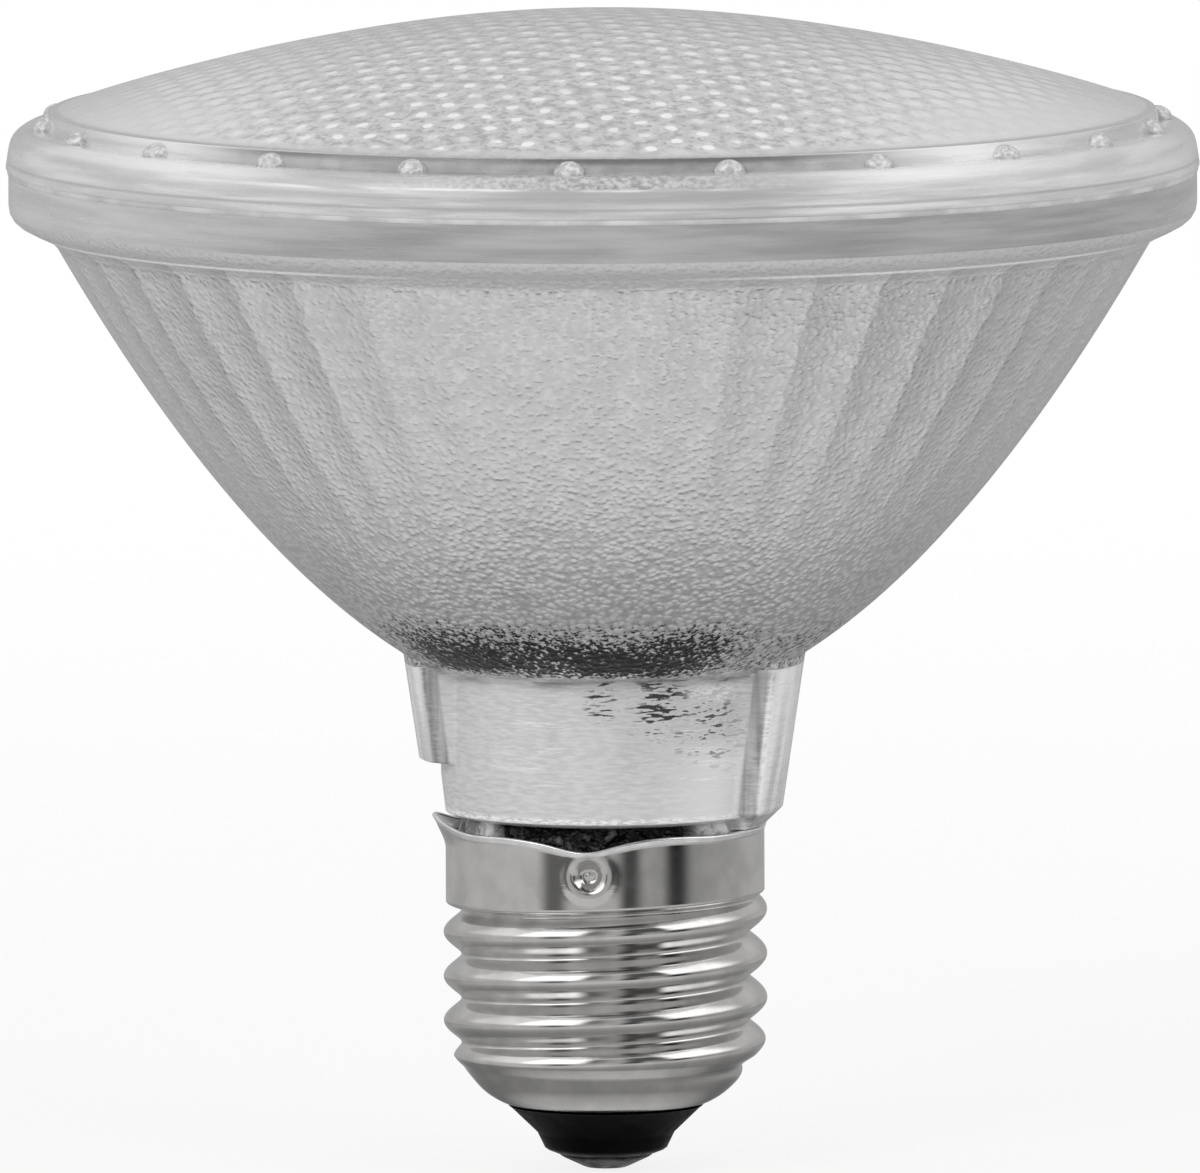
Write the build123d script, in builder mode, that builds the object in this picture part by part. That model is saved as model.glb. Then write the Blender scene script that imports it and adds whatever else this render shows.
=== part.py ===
from build123d import *
from math import cos, radians, sin, sqrt, tan
import os

os.makedirs("parts", exist_ok=True)

# Lengths are millimetres and angles degrees.
# Heights run up the bulb's axis from the flat of the centre contact, and the front is -Y.

# Centre contact and black tip insulator
contact_face_diameter = 3.2
contact_diameter = 7.5
contact_height = 1.1
contact_shank_diameter = 3.0
contact_shank_length = 2.6
nose_diameter = 10.1
nose_rise = 0.55
nose_wall_height = 1.2
nose_wall_growth = 0.5
insulator_diameter = 16.0
insulator_cone_height = 2.35
insulator_flange_diameter = 17.6
insulator_flange_height = 1.5

# Screw cap, rolled from thin sheet
cap_sheet_thickness = 0.35
cap_mouth_diameter = 15.2
cap_dome_diameter = 22.2
cap_dome_height = 3.2
cap_dome_radius = 6.4
cap_flare_height = 0.9
thread_major_diameter = 26.4
thread_minor_diameter = 24.2
thread_pitch = 3.629
thread_zone_height = 14.1
thread_crest_radius = 1.0
thread_flank_angle = 45
thread_first_crest = 10.24
thread_turns = 4.7
cap_seam_turn = 135
collar_diameter = 26.0
collar_height = 4.6
collar_foot_height = 0.9
lip_height = 2.0
lip_flare_width = 0.9
lip_tilt = 2.2
crimp_count = 3
crimp_height = 1.6
crimp_ball_diameter = 3.6
crimp_depth = 1.0

# Glass bowl, neck, spigot and lugs
bowl_width = 51.3
glass_wall_thickness = 2.6
rim_setback = 0.25
rim_overhang = 3.8
rim_underside_rise = 1.8
rim_wall_height = 4.0
rim_edge_bevel = 0.45
neck_gap = 1.5
neck_height = 11.6
neck_bottom_diameter = 26.0
neck_top_diameter = 28.8
neck_bore_diameter = 19.0
spigot_diameter = 22.9
spigot_depth = 6.5
pocket_width = 8.6
pocket_depth = 0.6
lug_span = 54
lug_top_diameter = 32.8
lug_bottom_diameter = 29.0
long_lug_bevel = 1.5
long_lug_turn = 0
short_lug_length = 7.4
short_lug_turn = 180

# Glass lens
lens_rim_diameter = 97.3
lens_rim_height = 3.5
lens_rim_taper = 0.55
lens_corner_radius = 1.1
lens_foot_bevel = 0.6
lens_ledge_width = 3.6
dome_rise = 7.95
dome_step = 1.3
dome_step_draft_width = 0.3
lens_thickness = 3.4
nub_count = 22
nub_diameter = 2.7
nub_turn = 2.6
seal_thickness = 0.25
seal_inset = 0.5

# Heat spreader, LED board and LEDs
spreader_diameter = 49.4
spreader_plate = 2.0
spreader_skirt = 5.0
spreader_skirt_wall = 1.8
spreader_gap = 0.25
led_board_setback = 0.7
led_board_thickness = 1.6
led_length = 3.5
led_width = 2.8
led_height = 0.8
phosphor_length = 2.5
phosphor_width = 2.0
phosphor_depth = 0.4
led_edge_gap = 3.0
led_ring_count = 3
led_ring_share = 6
screw_count = 3
screw_diameter = 2.0
screw_length = 1.6
screw_head_diameter = 3.8
screw_head_height = 1.3
screw_slot_width = 0.6
screw_slot_depth = 0.6

# Driver: sleeve, board and components
fit_gap = 0.1
sleeve_gap = 0.2
sleeve_wall_thickness = 0.9
sleeve_floor = 1.0
sleeve_foot_gap = 0.8
sleeve_flange_diameter = 24.4
sleeve_flange_height = 1.2
guide_rib_width = 0.8
guide_rib_depth = 1.2
driver_board_width = 15.0
driver_board_thickness = 1.2
driver_board_length = 31.0
driver_board_offset = 1.5
inductor_diameter = 7.0
inductor_length = 6.0
inductor_flange = 0.9
inductor_waist_diameter = 3.6
inductor_height = 11.2
bulk_capacitor_diameter = 7.0
bulk_capacitor_length = 9.5
bulk_capacitor_bevel = 0.5
capacitor_height = 15.6
capacitor_pitch = 0.6
film_capacitor_width = 5.6
film_capacitor_thickness = 3.4
film_capacitor_length = 8.0
rectifier_width = 4.7
rectifier_length = 3.9
rectifier_thickness = 2.4
rectifier_height = 9.0
chip_width = 4.9
chip_length = 3.9
chip_thickness = 1.5
chip_height = 17.0
fuse_diameter = 2.4
fuse_length = 6.5
fuse_height = 4.0

# Wires
wire_diameter = 1.2
wire_bend_radius = 1.4
wire_hole_diameter = 2.2
mains_wire_spread = 2.5
mains_wire_height = 5.6
led_wire_spread = 2.2
led_wire_height = 26.5
led_wire_stub = 3.4
solder_diameter = 2.6

# Widths and heights that follow from the sizes above
rim_diameter = lens_rim_diameter - 2 * rim_setback
bowl_mouth_diameter = rim_diameter - 2 * rim_overhang
dome_diameter = lens_rim_diameter - 2 * lens_ledge_width
led_board_diameter = spreader_diameter - 2 * led_board_setback
led_ring_step = (led_board_diameter / 2 - led_edge_gap) / led_ring_count
screw_circle_radius = led_ring_step * (led_ring_count - 1 / 2)
nose_bottom = contact_height + nose_rise
nose_top = nose_bottom + nose_wall_height
cap_bottom = nose_top + insulator_cone_height
cap_dome_top = cap_bottom + cap_dome_height
thread_bottom = cap_dome_top + cap_flare_height
collar_bottom = thread_bottom + thread_zone_height
lip_top = collar_bottom + collar_height
lip_start = lip_top - lip_height
shoulder = lip_top + neck_gap
spigot_bottom = collar_bottom - spigot_depth
neck_top = shoulder + neck_height
bowl_vertex = neck_top - (neck_top_diameter / 2) ** 2 / bowl_width


def parabola_height(radius, width, vertex):
    """Height of a bowl's wall at a radius."""
    return vertex + radius**2 / width


def parabola(start, end, width, vertex):
    """The wall between two radii: three control points draw a parabola exactly."""
    Bezier(
        (start, parabola_height(start, width, vertex)),
        ((start + end) / 2, vertex + start * end / width),
        (end, parabola_height(end, width, vertex)),
    )


def wall_inside(radius):
    """Point on the inside of the bowl's wall, square across it from a radius on the outside."""
    slope = 2 * radius / bowl_width
    across = glass_wall_thickness / sqrt(1 + slope**2)
    return radius - slope * across, parabola_height(radius, bowl_width, bowl_vertex) + across


bowl_mouth = parabola_height(bowl_mouth_diameter / 2, bowl_width, bowl_vertex)
rim_bottom = bowl_mouth + rim_underside_rise
rim_top = rim_bottom + rim_wall_height
mouth_inside = wall_inside(bowl_mouth_diameter / 2)
neck_inside = wall_inside(neck_top_diameter / 2)
inner_width = (mouth_inside[0] ** 2 - neck_inside[0] ** 2) / (mouth_inside[1] - neck_inside[1])
inner_vertex = neck_inside[1] - neck_inside[0] ** 2 / inner_width
inner_mouth_radius = sqrt(inner_width * (rim_top - inner_vertex))

lens_bottom = rim_top + seal_thickness
lens_ledge = lens_bottom + lens_rim_height
dome_edge = lens_ledge + dome_step
lens_apex = dome_edge + dome_rise
dome_radius = ((dome_diameter / 2) ** 2 + dome_rise**2) / (2 * dome_rise)


def dome_height(radius, inset):
    """Height of the lens dome at a radius, or of its inner face where it is inset."""
    return lens_apex - dome_radius + sqrt((dome_radius - inset) ** 2 - radius**2)


def dome_arc(radius, inset):
    """Half section of the dome, from the axis out to a radius."""
    ThreePointArc(
        (0, dome_height(0, inset)),
        (radius / 2, dome_height(radius / 2, inset)),
        (radius, dome_height(radius, inset)),
    )


def section_plane(turn):
    """Upright plane through the axis, turned from +X."""
    return Plane(
        origin=(0, 0, 0),
        x_dir=(cos(radians(turn)), sin(radians(turn)), 0),
        z_dir=(sin(radians(turn)), -cos(radians(turn)), 0),
    )


# Centre contact: a turned rivet head whose hollow shank takes the live wire
wire_socket_radius = wire_diameter / 2 + fit_gap
wire_socket_bottom = contact_height + wire_diameter / 2
contact_shank_top = contact_height + contact_shank_length
with BuildPart() as centre_contact:
    with BuildSketch(Plane.XZ):
        with BuildLine():
            Polyline(
                (0, 0),
                (contact_face_diameter / 2, 0),
                (contact_diameter / 2, contact_height),
                (contact_shank_diameter / 2, contact_height),
                (contact_shank_diameter / 2, contact_shank_top),
                (wire_socket_radius, contact_shank_top),
                (wire_socket_radius, wire_socket_bottom),
                (0, wire_socket_bottom),
                close=True,
            )
        make_face()
    revolve(axis=Axis.Z)
centre_contact.part.label = "centre_contact"
export_step(centre_contact.part, "parts/centre_contact.step")

# Tip insulator: moulded into the cap's mouth, with a flange inside that holds it there
insulator_waist = cap_mouth_diameter / 2 - fit_gap
insulator_flange_bottom = cap_bottom + cap_sheet_thickness + fit_gap
insulator_flange_rise = insulator_flange_bottom + insulator_flange_diameter / 2 - insulator_waist
insulator_top = insulator_flange_rise + insulator_flange_height
with BuildPart() as tip_insulator:
    with BuildSketch(Plane.XZ):
        with BuildLine():
            Polyline(
                (contact_shank_diameter / 2 + fit_gap, contact_height),
                (contact_diameter / 2, contact_height),
                (nose_diameter / 2, nose_bottom),
                (nose_diameter / 2 + nose_wall_growth, nose_top),
                (insulator_diameter / 2, cap_bottom),
                (insulator_waist, cap_bottom),
                (insulator_waist, insulator_flange_bottom),
                (insulator_flange_diameter / 2, insulator_flange_rise),
                (insulator_flange_diameter / 2, insulator_top),
                (wire_hole_diameter / 2, insulator_top),
                (wire_hole_diameter / 2, contact_shank_top + fit_gap),
                (contact_shank_diameter / 2 + fit_gap, contact_shank_top + fit_gap),
                close=True,
            )
        make_face()
    revolve(axis=Axis.Z)
tip_insulator.part.label = "tip_insulator"
export_step(tip_insulator.part, "parts/tip_insulator.step")


def cap_form(inset):
    """The cap without its thread: dome, barrel and collar turned, then a lip drawn out to one side."""
    barrel = thread_minor_diameter / 2 - inset
    collar = collar_diameter / 2 - inset
    foot = (cap_mouth_diameter / 2, cap_bottom + inset)
    dome_top = (cap_dome_diameter / 2 - inset, cap_dome_top)
    # The turned forms begin at the back, where their seam is clear of the thread's ends
    with BuildPart() as form:
        with BuildSketch(section_plane(cap_seam_turn)):
            with BuildLine():
                Polyline((0, lip_start), (0, cap_bottom + inset), foot)
                RadiusArc(foot, dome_top, -cap_dome_radius)
                Polyline(
                    dome_top,
                    (barrel, thread_bottom),
                    (barrel, collar_bottom),
                    (collar, collar_bottom + collar_foot_height),
                    (collar, lip_start),
                    (0, lip_start),
                )
            make_face()
        revolve(axis=Axis.Z)
        with BuildSketch(Plane.XY.offset(lip_start)):
            Circle(collar)
        with BuildSketch(Plane.XY.offset(lip_top + lip_height)):
            with Locations((-lip_flare_width, 0)):
                Circle(collar + lip_flare_width)
        loft()
    return form.part


# Thread: one rounded ridge wound round the barrel, its end running into the collar
barrel_radius = thread_minor_diameter / 2
crest_centre = thread_major_diameter / 2 - thread_crest_radius
flank_start = thread_crest_radius * sin(radians(thread_flank_angle))
flank_radius = crest_centre + thread_crest_radius * cos(radians(thread_flank_angle))
ridge_root = barrel_radius - cap_sheet_thickness / 2
ridge_half_width = flank_start + (flank_radius - ridge_root) / tan(radians(thread_flank_angle))
ridge_start = thread_first_crest - thread_pitch
with BuildPart() as thread_ridge:
    with BuildLine() as winding:
        Helix(thread_pitch, thread_turns * thread_pitch, barrel_radius, center=(0, 0, ridge_start))
    with BuildSketch(Plane(origin=(0, 0, ridge_start), x_dir=(1, 0, 0), z_dir=winding.line % 0)):
        with BuildLine():
            Polyline(
                (flank_radius, -flank_start),
                (ridge_root, -ridge_half_width),
                (ridge_root, ridge_half_width),
                (flank_radius, flank_start),
            )
            ThreePointArc(
                (flank_radius, -flank_start),
                (thread_major_diameter / 2, 0),
                (flank_radius, flank_start),
            )
        make_face()
    sweep(path=winding.line, is_frenet=True)

# Thread run-out: a cone pares the ridge away toward the dome
runout_foot = cap_dome_diameter / 2 + cap_sheet_thickness
runout_reach = thread_major_diameter / 2 + cap_sheet_thickness
with BuildPart() as thread_runout:
    with BuildSketch(section_plane(cap_seam_turn)):
        with BuildLine():
            Polyline(
                (runout_foot, cap_dome_top),
                (runout_reach, cap_dome_top + runout_reach - runout_foot),
                (runout_reach, nose_bottom),
                (runout_foot, nose_bottom),
                close=True,
            )
        make_face()
    revolve(axis=Axis.Z)

# Crimps: balls pressed into the collar, which leave a dent outside and a boss inside
crimp_level = collar_bottom + crimp_height
crimp_ball_radius = crimp_ball_diameter / 2
crimp_circle_radius = collar_diameter / 2 - crimp_depth + crimp_ball_radius
with BuildPart() as cap_inside:
    add(cap_form(cap_sheet_thickness))
    with Locations((0, 0, crimp_level)):
        with PolarLocations(crimp_circle_radius, crimp_count, start_angle=-90):
            Sphere(crimp_ball_radius + cap_sheet_thickness, mode=Mode.SUBTRACT)

# Screw shell: the hollow cap with its thread, crimps and slanting lip
with BuildPart() as screw_shell:
    add(cap_form(0))
    add(thread_ridge.part)
    add(thread_runout.part, mode=Mode.SUBTRACT)
    add(cap_inside.part, mode=Mode.SUBTRACT)
    with Locations((0, 0, cap_bottom)):
        Cylinder(cap_mouth_diameter / 2, 2 * cap_sheet_thickness, mode=Mode.SUBTRACT)
    with Locations((0, 0, crimp_level)):
        with PolarLocations(crimp_circle_radius, crimp_count, start_angle=-90):
            Sphere(crimp_ball_radius, mode=Mode.SUBTRACT)
    split(
        bisect_by=Plane((0, 0, lip_top), z_dir=(sin(radians(lip_tilt)), 0, cos(radians(lip_tilt)))),
        keep=Keep.BOTTOM,
    )
screw_shell.part.label = "screw_shell"
export_step(screw_shell.part, "parts/screw_shell.step")

# Reflector housing: one pressed glass piece of bowl, rim, neck, lugs and spigot
bore_radius = neck_bore_diameter / 2
spigot_radius = spigot_diameter / 2
rim_radius = rim_diameter / 2
lug_root_radius = (spigot_diameter + neck_bottom_diameter) / 4
lug_top_radius = lug_top_diameter / 2
lug_bottom_radius = lug_bottom_diameter / 2
lug_top = parabola_height(lug_top_radius, bowl_width, bowl_vertex)
lug_taper = (lug_top_radius - lug_bottom_radius) / (lug_top - shoulder)
short_lug_bottom = neck_top - short_lug_length
with BuildPart() as reflector_housing:
    with BuildSketch(Plane.XZ):
        with BuildLine():
            parabola(neck_top_diameter / 2, bowl_mouth_diameter / 2, bowl_width, bowl_vertex)
            Polyline(
                (bowl_mouth_diameter / 2, bowl_mouth),
                (rim_radius - rim_edge_bevel, rim_bottom),
                (rim_radius, rim_bottom + rim_edge_bevel),
                (rim_radius, rim_top - rim_edge_bevel),
                (rim_radius - rim_edge_bevel, rim_top),
                (inner_mouth_radius, rim_top),
            )
            parabola(inner_mouth_radius, bore_radius, inner_width, inner_vertex)
            Polyline(
                (bore_radius, parabola_height(bore_radius, inner_width, inner_vertex)),
                (bore_radius, spigot_bottom),
                (spigot_radius, spigot_bottom),
                (spigot_radius, shoulder),
                (neck_bottom_diameter / 2, shoulder),
                (neck_top_diameter / 2, neck_top),
            )
        make_face()
    revolve(axis=Axis.Z)
    # The long lug runs down to the cap's lip, where it is bevelled
    with BuildSketch(section_plane(long_lug_turn - lug_span / 2)):
        with BuildLine():
            Polyline(
                (spigot_radius - fit_gap, lip_top + fit_gap),
                (neck_bottom_diameter / 2, lip_top + fit_gap),
                (lug_bottom_radius, lip_top + fit_gap + long_lug_bevel),
                (lug_top_radius, lug_top),
                (lug_root_radius, lug_top),
                close=True,
            )
        make_face()
    revolve(axis=Axis.Z, revolution_arc=lug_span)
    # The short lug on the other side stops in a step
    with BuildSketch(section_plane(short_lug_turn - lug_span / 2)):
        with BuildLine():
            Polyline(
                (lug_root_radius, short_lug_bottom),
                (lug_bottom_radius + lug_taper * (short_lug_bottom - shoulder), short_lug_bottom),
                (lug_top_radius, lug_top),
                (lug_root_radius, lug_top),
                close=True,
            )
        make_face()
    revolve(axis=Axis.Z, revolution_arc=lug_span)
    # Pockets in the spigot take the crimps
    with Locations((0, 0, (spigot_bottom + shoulder) / 2)):
        with PolarLocations(spigot_radius, crimp_count, start_angle=-90):
            Box(2 * pocket_depth, pocket_width, shoulder - spigot_bottom, mode=Mode.SUBTRACT)
reflector_housing.part.label = "reflector_housing"
export_step(reflector_housing.part, "parts/reflector_housing.step")

# Cap cement: the ring between spigot and collar, moulded round the crimps
cement_bottom = collar_bottom + collar_foot_height
with BuildPart() as cap_cement:
    with BuildSketch(Plane.XY.offset(cement_bottom)):
        Circle(collar_diameter / 2 - cap_sheet_thickness - fit_gap)
        Circle(spigot_radius + fit_gap, mode=Mode.SUBTRACT)
    extrude(amount=lip_start - cement_bottom)
    with Locations((0, 0, crimp_level)):
        with PolarLocations(crimp_circle_radius, crimp_count, start_angle=-90):
            Sphere(crimp_ball_radius + cap_sheet_thickness + fit_gap, mode=Mode.SUBTRACT)
cap_cement.part.label = "cap_cement"
export_step(cap_cement.part, "parts/cap_cement.step")

# Lens seal: a thin flat ring set back in the seam
with BuildPart() as lens_seal:
    with BuildSketch(Plane.XY.offset(rim_top)):
        Circle(rim_radius - rim_edge_bevel - seal_inset)
        Circle(inner_mouth_radius + seal_inset, mode=Mode.SUBTRACT)
    extrude(amount=seal_thickness)
lens_seal.part.label = "lens_seal"
export_step(lens_seal.part, "parts/lens_seal.step")

# Lens: pressed glass dome on a rim, with round nubs in the step between them
lens_rim_radius = lens_rim_diameter / 2
dome_edge_radius = dome_diameter / 2
with BuildPart() as lens:
    with BuildSketch(Plane.XZ):
        with BuildLine():
            dome_arc(dome_edge_radius, 0)
            Polyline(
                (dome_edge_radius, dome_edge),
                (dome_edge_radius + dome_step_draft_width, lens_ledge),
                (lens_rim_radius - lens_rim_taper, lens_ledge),
                (lens_rim_radius, lens_bottom + lens_foot_bevel),
                (lens_rim_radius - lens_foot_bevel, lens_bottom),
                (inner_mouth_radius, lens_bottom),
                (inner_mouth_radius, dome_height(inner_mouth_radius, lens_thickness)),
            )
            dome_arc(inner_mouth_radius, lens_thickness)
            Line((0, dome_height(0, lens_thickness)), (0, lens_apex))
        make_face()
    revolve(axis=Axis.Z)
    ledge_corner = lens.edges().filter_by(GeomType.CIRCLE).filter_by_position(Axis.Z, lens_ledge, lens_ledge)
    fillet(ledge_corner.sort_by(SortBy.RADIUS)[-1], lens_corner_radius)
    with Locations((0, 0, (lens_ledge + dome_edge) / 2)):
        with PolarLocations(dome_edge_radius + dome_step_draft_width, nub_count, start_angle=nub_turn - 90):
            Sphere(nub_diameter / 2)
lens.part.label = "lens"
export_step(lens.part, "parts/lens.step")

# Heat spreader: a spun aluminium dish bonded into the bowl
spreader_radius = spreader_diameter / 2
spreader_top = parabola_height(spreader_radius + spreader_gap, inner_width, inner_vertex)
spreader_vertex = spreader_top - spreader_radius**2 / inner_width
spreader_foot_radius = sqrt(inner_width * (spreader_top - spreader_skirt - spreader_vertex))
spreader_under = spreader_top - spreader_plate
wire_place = driver_board_offset - driver_board_thickness / 2 - wire_diameter / 2 - fit_gap
with BuildPart() as heat_spreader:
    with BuildSketch(Plane.XZ):
        with BuildLine():
            parabola(spreader_foot_radius, spreader_radius, inner_width, spreader_vertex)
            Polyline(
                (spreader_radius, spreader_top),
                (0, spreader_top),
                (0, spreader_under),
                (spreader_foot_radius, spreader_under),
                (spreader_foot_radius - spreader_skirt_wall, spreader_top - spreader_skirt),
                (spreader_foot_radius, spreader_top - spreader_skirt),
            )
        make_face()
    revolve(axis=Axis.Z)
    with Locations((led_wire_spread, wire_place, spreader_top), (-led_wire_spread, wire_place, spreader_top)):
        Hole(wire_hole_diameter / 2, spreader_plate)
    with Locations((0, 0, spreader_top)):
        with PolarLocations(screw_circle_radius, screw_count):
            Hole(screw_diameter / 2 + fit_gap / 2, spreader_plate)
heat_spreader.part.label = "heat_spreader"
export_step(heat_spreader.part, "parts/heat_spreader.step")

# LED board: a round aluminium-core board on the dish
board_top = spreader_top + led_board_thickness
with BuildPart() as led_board:
    with BuildSketch(Plane.XY.offset(spreader_top)):
        Circle(led_board_diameter / 2)
        with Locations((led_wire_spread, wire_place), (-led_wire_spread, wire_place)):
            Circle(wire_hole_diameter / 2, mode=Mode.SUBTRACT)
        with PolarLocations(screw_circle_radius, screw_count):
            Circle(screw_diameter / 2 + fit_gap / 2, mode=Mode.SUBTRACT)
    extrude(amount=led_board_thickness)
led_board.part.label = "led_board"
export_step(led_board.part, "parts/led_board.step")

# LEDs stand in rings, each turned by half a step to keep clear of the screws and wires
phosphor_bottom = board_top + led_height - phosphor_depth
with BuildPart() as led_packages:
    for ring in range(1, led_ring_count + 1):
        led_count = led_ring_share * ring
        with BuildSketch(Plane.XY.offset(board_top)):
            with PolarLocations(led_ring_step * ring, led_count, start_angle=180 / led_count):
                Rectangle(led_width, led_length)
        extrude(amount=led_height)
        with BuildSketch(Plane.XY.offset(phosphor_bottom)):
            with PolarLocations(led_ring_step * ring, led_count, start_angle=180 / led_count):
                Rectangle(phosphor_width, phosphor_length)
        extrude(amount=phosphor_depth, mode=Mode.SUBTRACT)
led_packages.part.label = "led_packages"
export_step(led_packages.part, "parts/led_packages.step")

with BuildPart() as led_phosphors:
    for ring in range(1, led_ring_count + 1):
        led_count = led_ring_share * ring
        with BuildSketch(Plane.XY.offset(phosphor_bottom)):
            with PolarLocations(led_ring_step * ring, led_count, start_angle=180 / led_count):
                Rectangle(phosphor_width, phosphor_length)
        extrude(amount=phosphor_depth)
led_phosphors.part.label = "led_phosphors"
export_step(led_phosphors.part, "parts/led_phosphors.step")

# Board screws: slotted cheese heads
with BuildPart() as board_screws:
    with BuildSketch(Plane.XY.offset(board_top)):
        with PolarLocations(screw_circle_radius, screw_count):
            Circle(screw_head_diameter / 2)
    extrude(amount=screw_head_height)
    with BuildSketch(Plane.XY.offset(board_top + screw_head_height)):
        with PolarLocations(screw_circle_radius, screw_count):
            Rectangle(screw_slot_width, 2 * screw_head_diameter)
    extrude(amount=-screw_slot_depth, mode=Mode.SUBTRACT)
    with BuildSketch(Plane.XY.offset(board_top)):
        with PolarLocations(screw_circle_radius, screw_count):
            Circle(screw_diameter / 2)
    extrude(amount=-led_board_thickness - screw_length)
board_screws.part.label = "board_screws"
export_step(board_screws.part, "parts/board_screws.step")

# Driver sleeve: an insulating tube that hangs in the neck by its flange
sleeve_radius = bore_radius - sleeve_gap
sleeve_bore_radius = sleeve_radius - sleeve_wall_thickness
sleeve_bottom = insulator_top + sleeve_foot_gap
sleeve_floor_top = sleeve_bottom + sleeve_floor
flange_bottom = parabola_height(sleeve_flange_diameter / 2, inner_width, inner_vertex) + sleeve_gap
flange_top = flange_bottom + sleeve_flange_height
board_bottom = sleeve_floor_top + fit_gap
board_front = driver_board_offset - driver_board_thickness / 2
board_back = driver_board_offset + driver_board_thickness / 2
mains_wire_level = board_bottom + mains_wire_height
neutral_level = board_bottom + wire_diameter + wire_hole_diameter / 2
with BuildPart() as driver_sleeve:
    with BuildSketch(Plane.XY.offset(sleeve_bottom)):
        Circle(sleeve_radius)
    extrude(amount=flange_top - sleeve_bottom)
    with BuildSketch(Plane.XY.offset(flange_bottom)):
        Circle(sleeve_flange_diameter / 2)
    extrude(amount=sleeve_flange_height)
    with BuildSketch(Plane.XY.offset(sleeve_floor_top)):
        Circle(sleeve_bore_radius)
    extrude(amount=flange_top - sleeve_floor_top, mode=Mode.SUBTRACT)
    # Guide ribs hold both edges of the driver board
    rib_start = driver_board_width / 2 - guide_rib_depth
    rib_end = sqrt(sleeve_bore_radius**2 - board_back**2) + sleeve_wall_thickness / 2
    front_rib = board_front - fit_gap - guide_rib_width / 2
    back_rib = board_back + fit_gap + guide_rib_width / 2
    with BuildSketch(Plane.XY.offset(sleeve_floor_top)):
        for side in (-1, 1):
            for rib_place in (front_rib, back_rib):
                with Locations((side * (rib_start + rib_end) / 2, rib_place)):
                    Rectangle(rib_end - rib_start, guide_rib_width)
    extrude(amount=driver_board_length)
    with Locations((0, 0, sleeve_floor_top)):
        Hole(wire_hole_diameter / 2, sleeve_floor)
    with Locations(Plane.XZ.offset(sleeve_radius)):
        with Locations((-mains_wire_spread, neutral_level)):
            Hole(wire_hole_diameter / 2, sleeve_radius)
driver_sleeve.part.label = "driver_sleeve"
export_step(driver_sleeve.part, "parts/driver_sleeve.step")

# Driver board and what is soldered to it
with BuildPart() as driver_board:
    with BuildSketch(Plane.XY.offset(board_bottom)):
        with Locations((0, driver_board_offset)):
            Rectangle(driver_board_width, driver_board_thickness)
    extrude(amount=driver_board_length)
driver_board.part.label = "driver_board"
export_step(driver_board.part, "parts/driver_board.step")

front_face = Plane.XZ.offset(-board_front)
back_face = Plane(origin=(0, board_back, 0), x_dir=(-1, 0, 0), z_dir=(0, 1, 0))
inductor_level = board_bottom + inductor_height
with BuildPart() as inductor_core:
    with BuildSketch(front_face):
        with Locations((0, inductor_level)):
            Circle(inductor_diameter / 2)
    extrude(amount=inductor_length)
    with BuildSketch(front_face.offset(inductor_flange)):
        with Locations((0, inductor_level)):
            Circle(inductor_diameter / 2)
            Circle(inductor_waist_diameter / 2, mode=Mode.SUBTRACT)
    extrude(amount=inductor_length - 2 * inductor_flange, mode=Mode.SUBTRACT)
inductor_core.part.label = "inductor_core"
export_step(inductor_core.part, "parts/inductor_core.step")

with BuildPart() as inductor_winding:
    with BuildSketch(front_face.offset(inductor_flange + fit_gap)):
        with Locations((0, inductor_level)):
            Circle(inductor_diameter / 2 - 3 * fit_gap)
            Circle(inductor_waist_diameter / 2 + fit_gap, mode=Mode.SUBTRACT)
    extrude(amount=inductor_length - 2 * inductor_flange - 2 * fit_gap)
inductor_winding.part.label = "inductor_winding"
export_step(inductor_winding.part, "parts/inductor_winding.step")

capacitor_bottom = board_bottom + capacitor_height
bulk_capacitor_radius = bulk_capacitor_diameter / 2
bulk_capacitor_across = bulk_capacitor_radius - capacitor_pitch / 2
bulk_capacitor_forward = board_front - bulk_capacitor_radius - fit_gap
with BuildPart() as bulk_capacitor:
    with BuildSketch(Plane.XY.offset(capacitor_bottom)):
        with Locations((bulk_capacitor_across, bulk_capacitor_forward)):
            Circle(bulk_capacitor_radius)
    extrude(amount=bulk_capacitor_length)
    chamfer(bulk_capacitor.edges().group_by(Axis.Z)[-1], bulk_capacitor_bevel)
bulk_capacitor.part.label = "bulk_capacitor"
export_step(bulk_capacitor.part, "parts/bulk_capacitor.step")

with BuildPart() as film_capacitor:
    with BuildSketch(front_face):
        with Locations(
            (-capacitor_pitch - film_capacitor_width / 2, capacitor_bottom + film_capacitor_length / 2)
        ):
            Rectangle(film_capacitor_width, film_capacitor_length)
    extrude(amount=film_capacitor_thickness)
film_capacitor.part.label = "film_capacitor"
export_step(film_capacitor.part, "parts/film_capacitor.step")

with BuildPart() as bridge_rectifier:
    with BuildSketch(back_face):
        with Locations((0, board_bottom + rectifier_height)):
            Rectangle(rectifier_width, rectifier_length)
    extrude(amount=rectifier_thickness)
bridge_rectifier.part.label = "bridge_rectifier"
export_step(bridge_rectifier.part, "parts/bridge_rectifier.step")

with BuildPart() as driver_chip:
    with BuildSketch(back_face):
        with Locations((0, board_bottom + chip_height)):
            Rectangle(chip_width, chip_length)
    extrude(amount=chip_thickness)
driver_chip.part.label = "driver_chip"
export_step(driver_chip.part, "parts/driver_chip.step")

with BuildPart() as fuse_resistor:
    with BuildSketch(Plane.YZ.offset(-fuse_length / 2)):
        with Locations((board_back + fuse_diameter / 2 + fit_gap, board_bottom + fuse_height)):
            Circle(fuse_diameter / 2)
    extrude(amount=fuse_length)
fuse_resistor.part.label = "fuse_resistor"
export_step(fuse_resistor.part, "parts/fuse_resistor.step")


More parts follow.
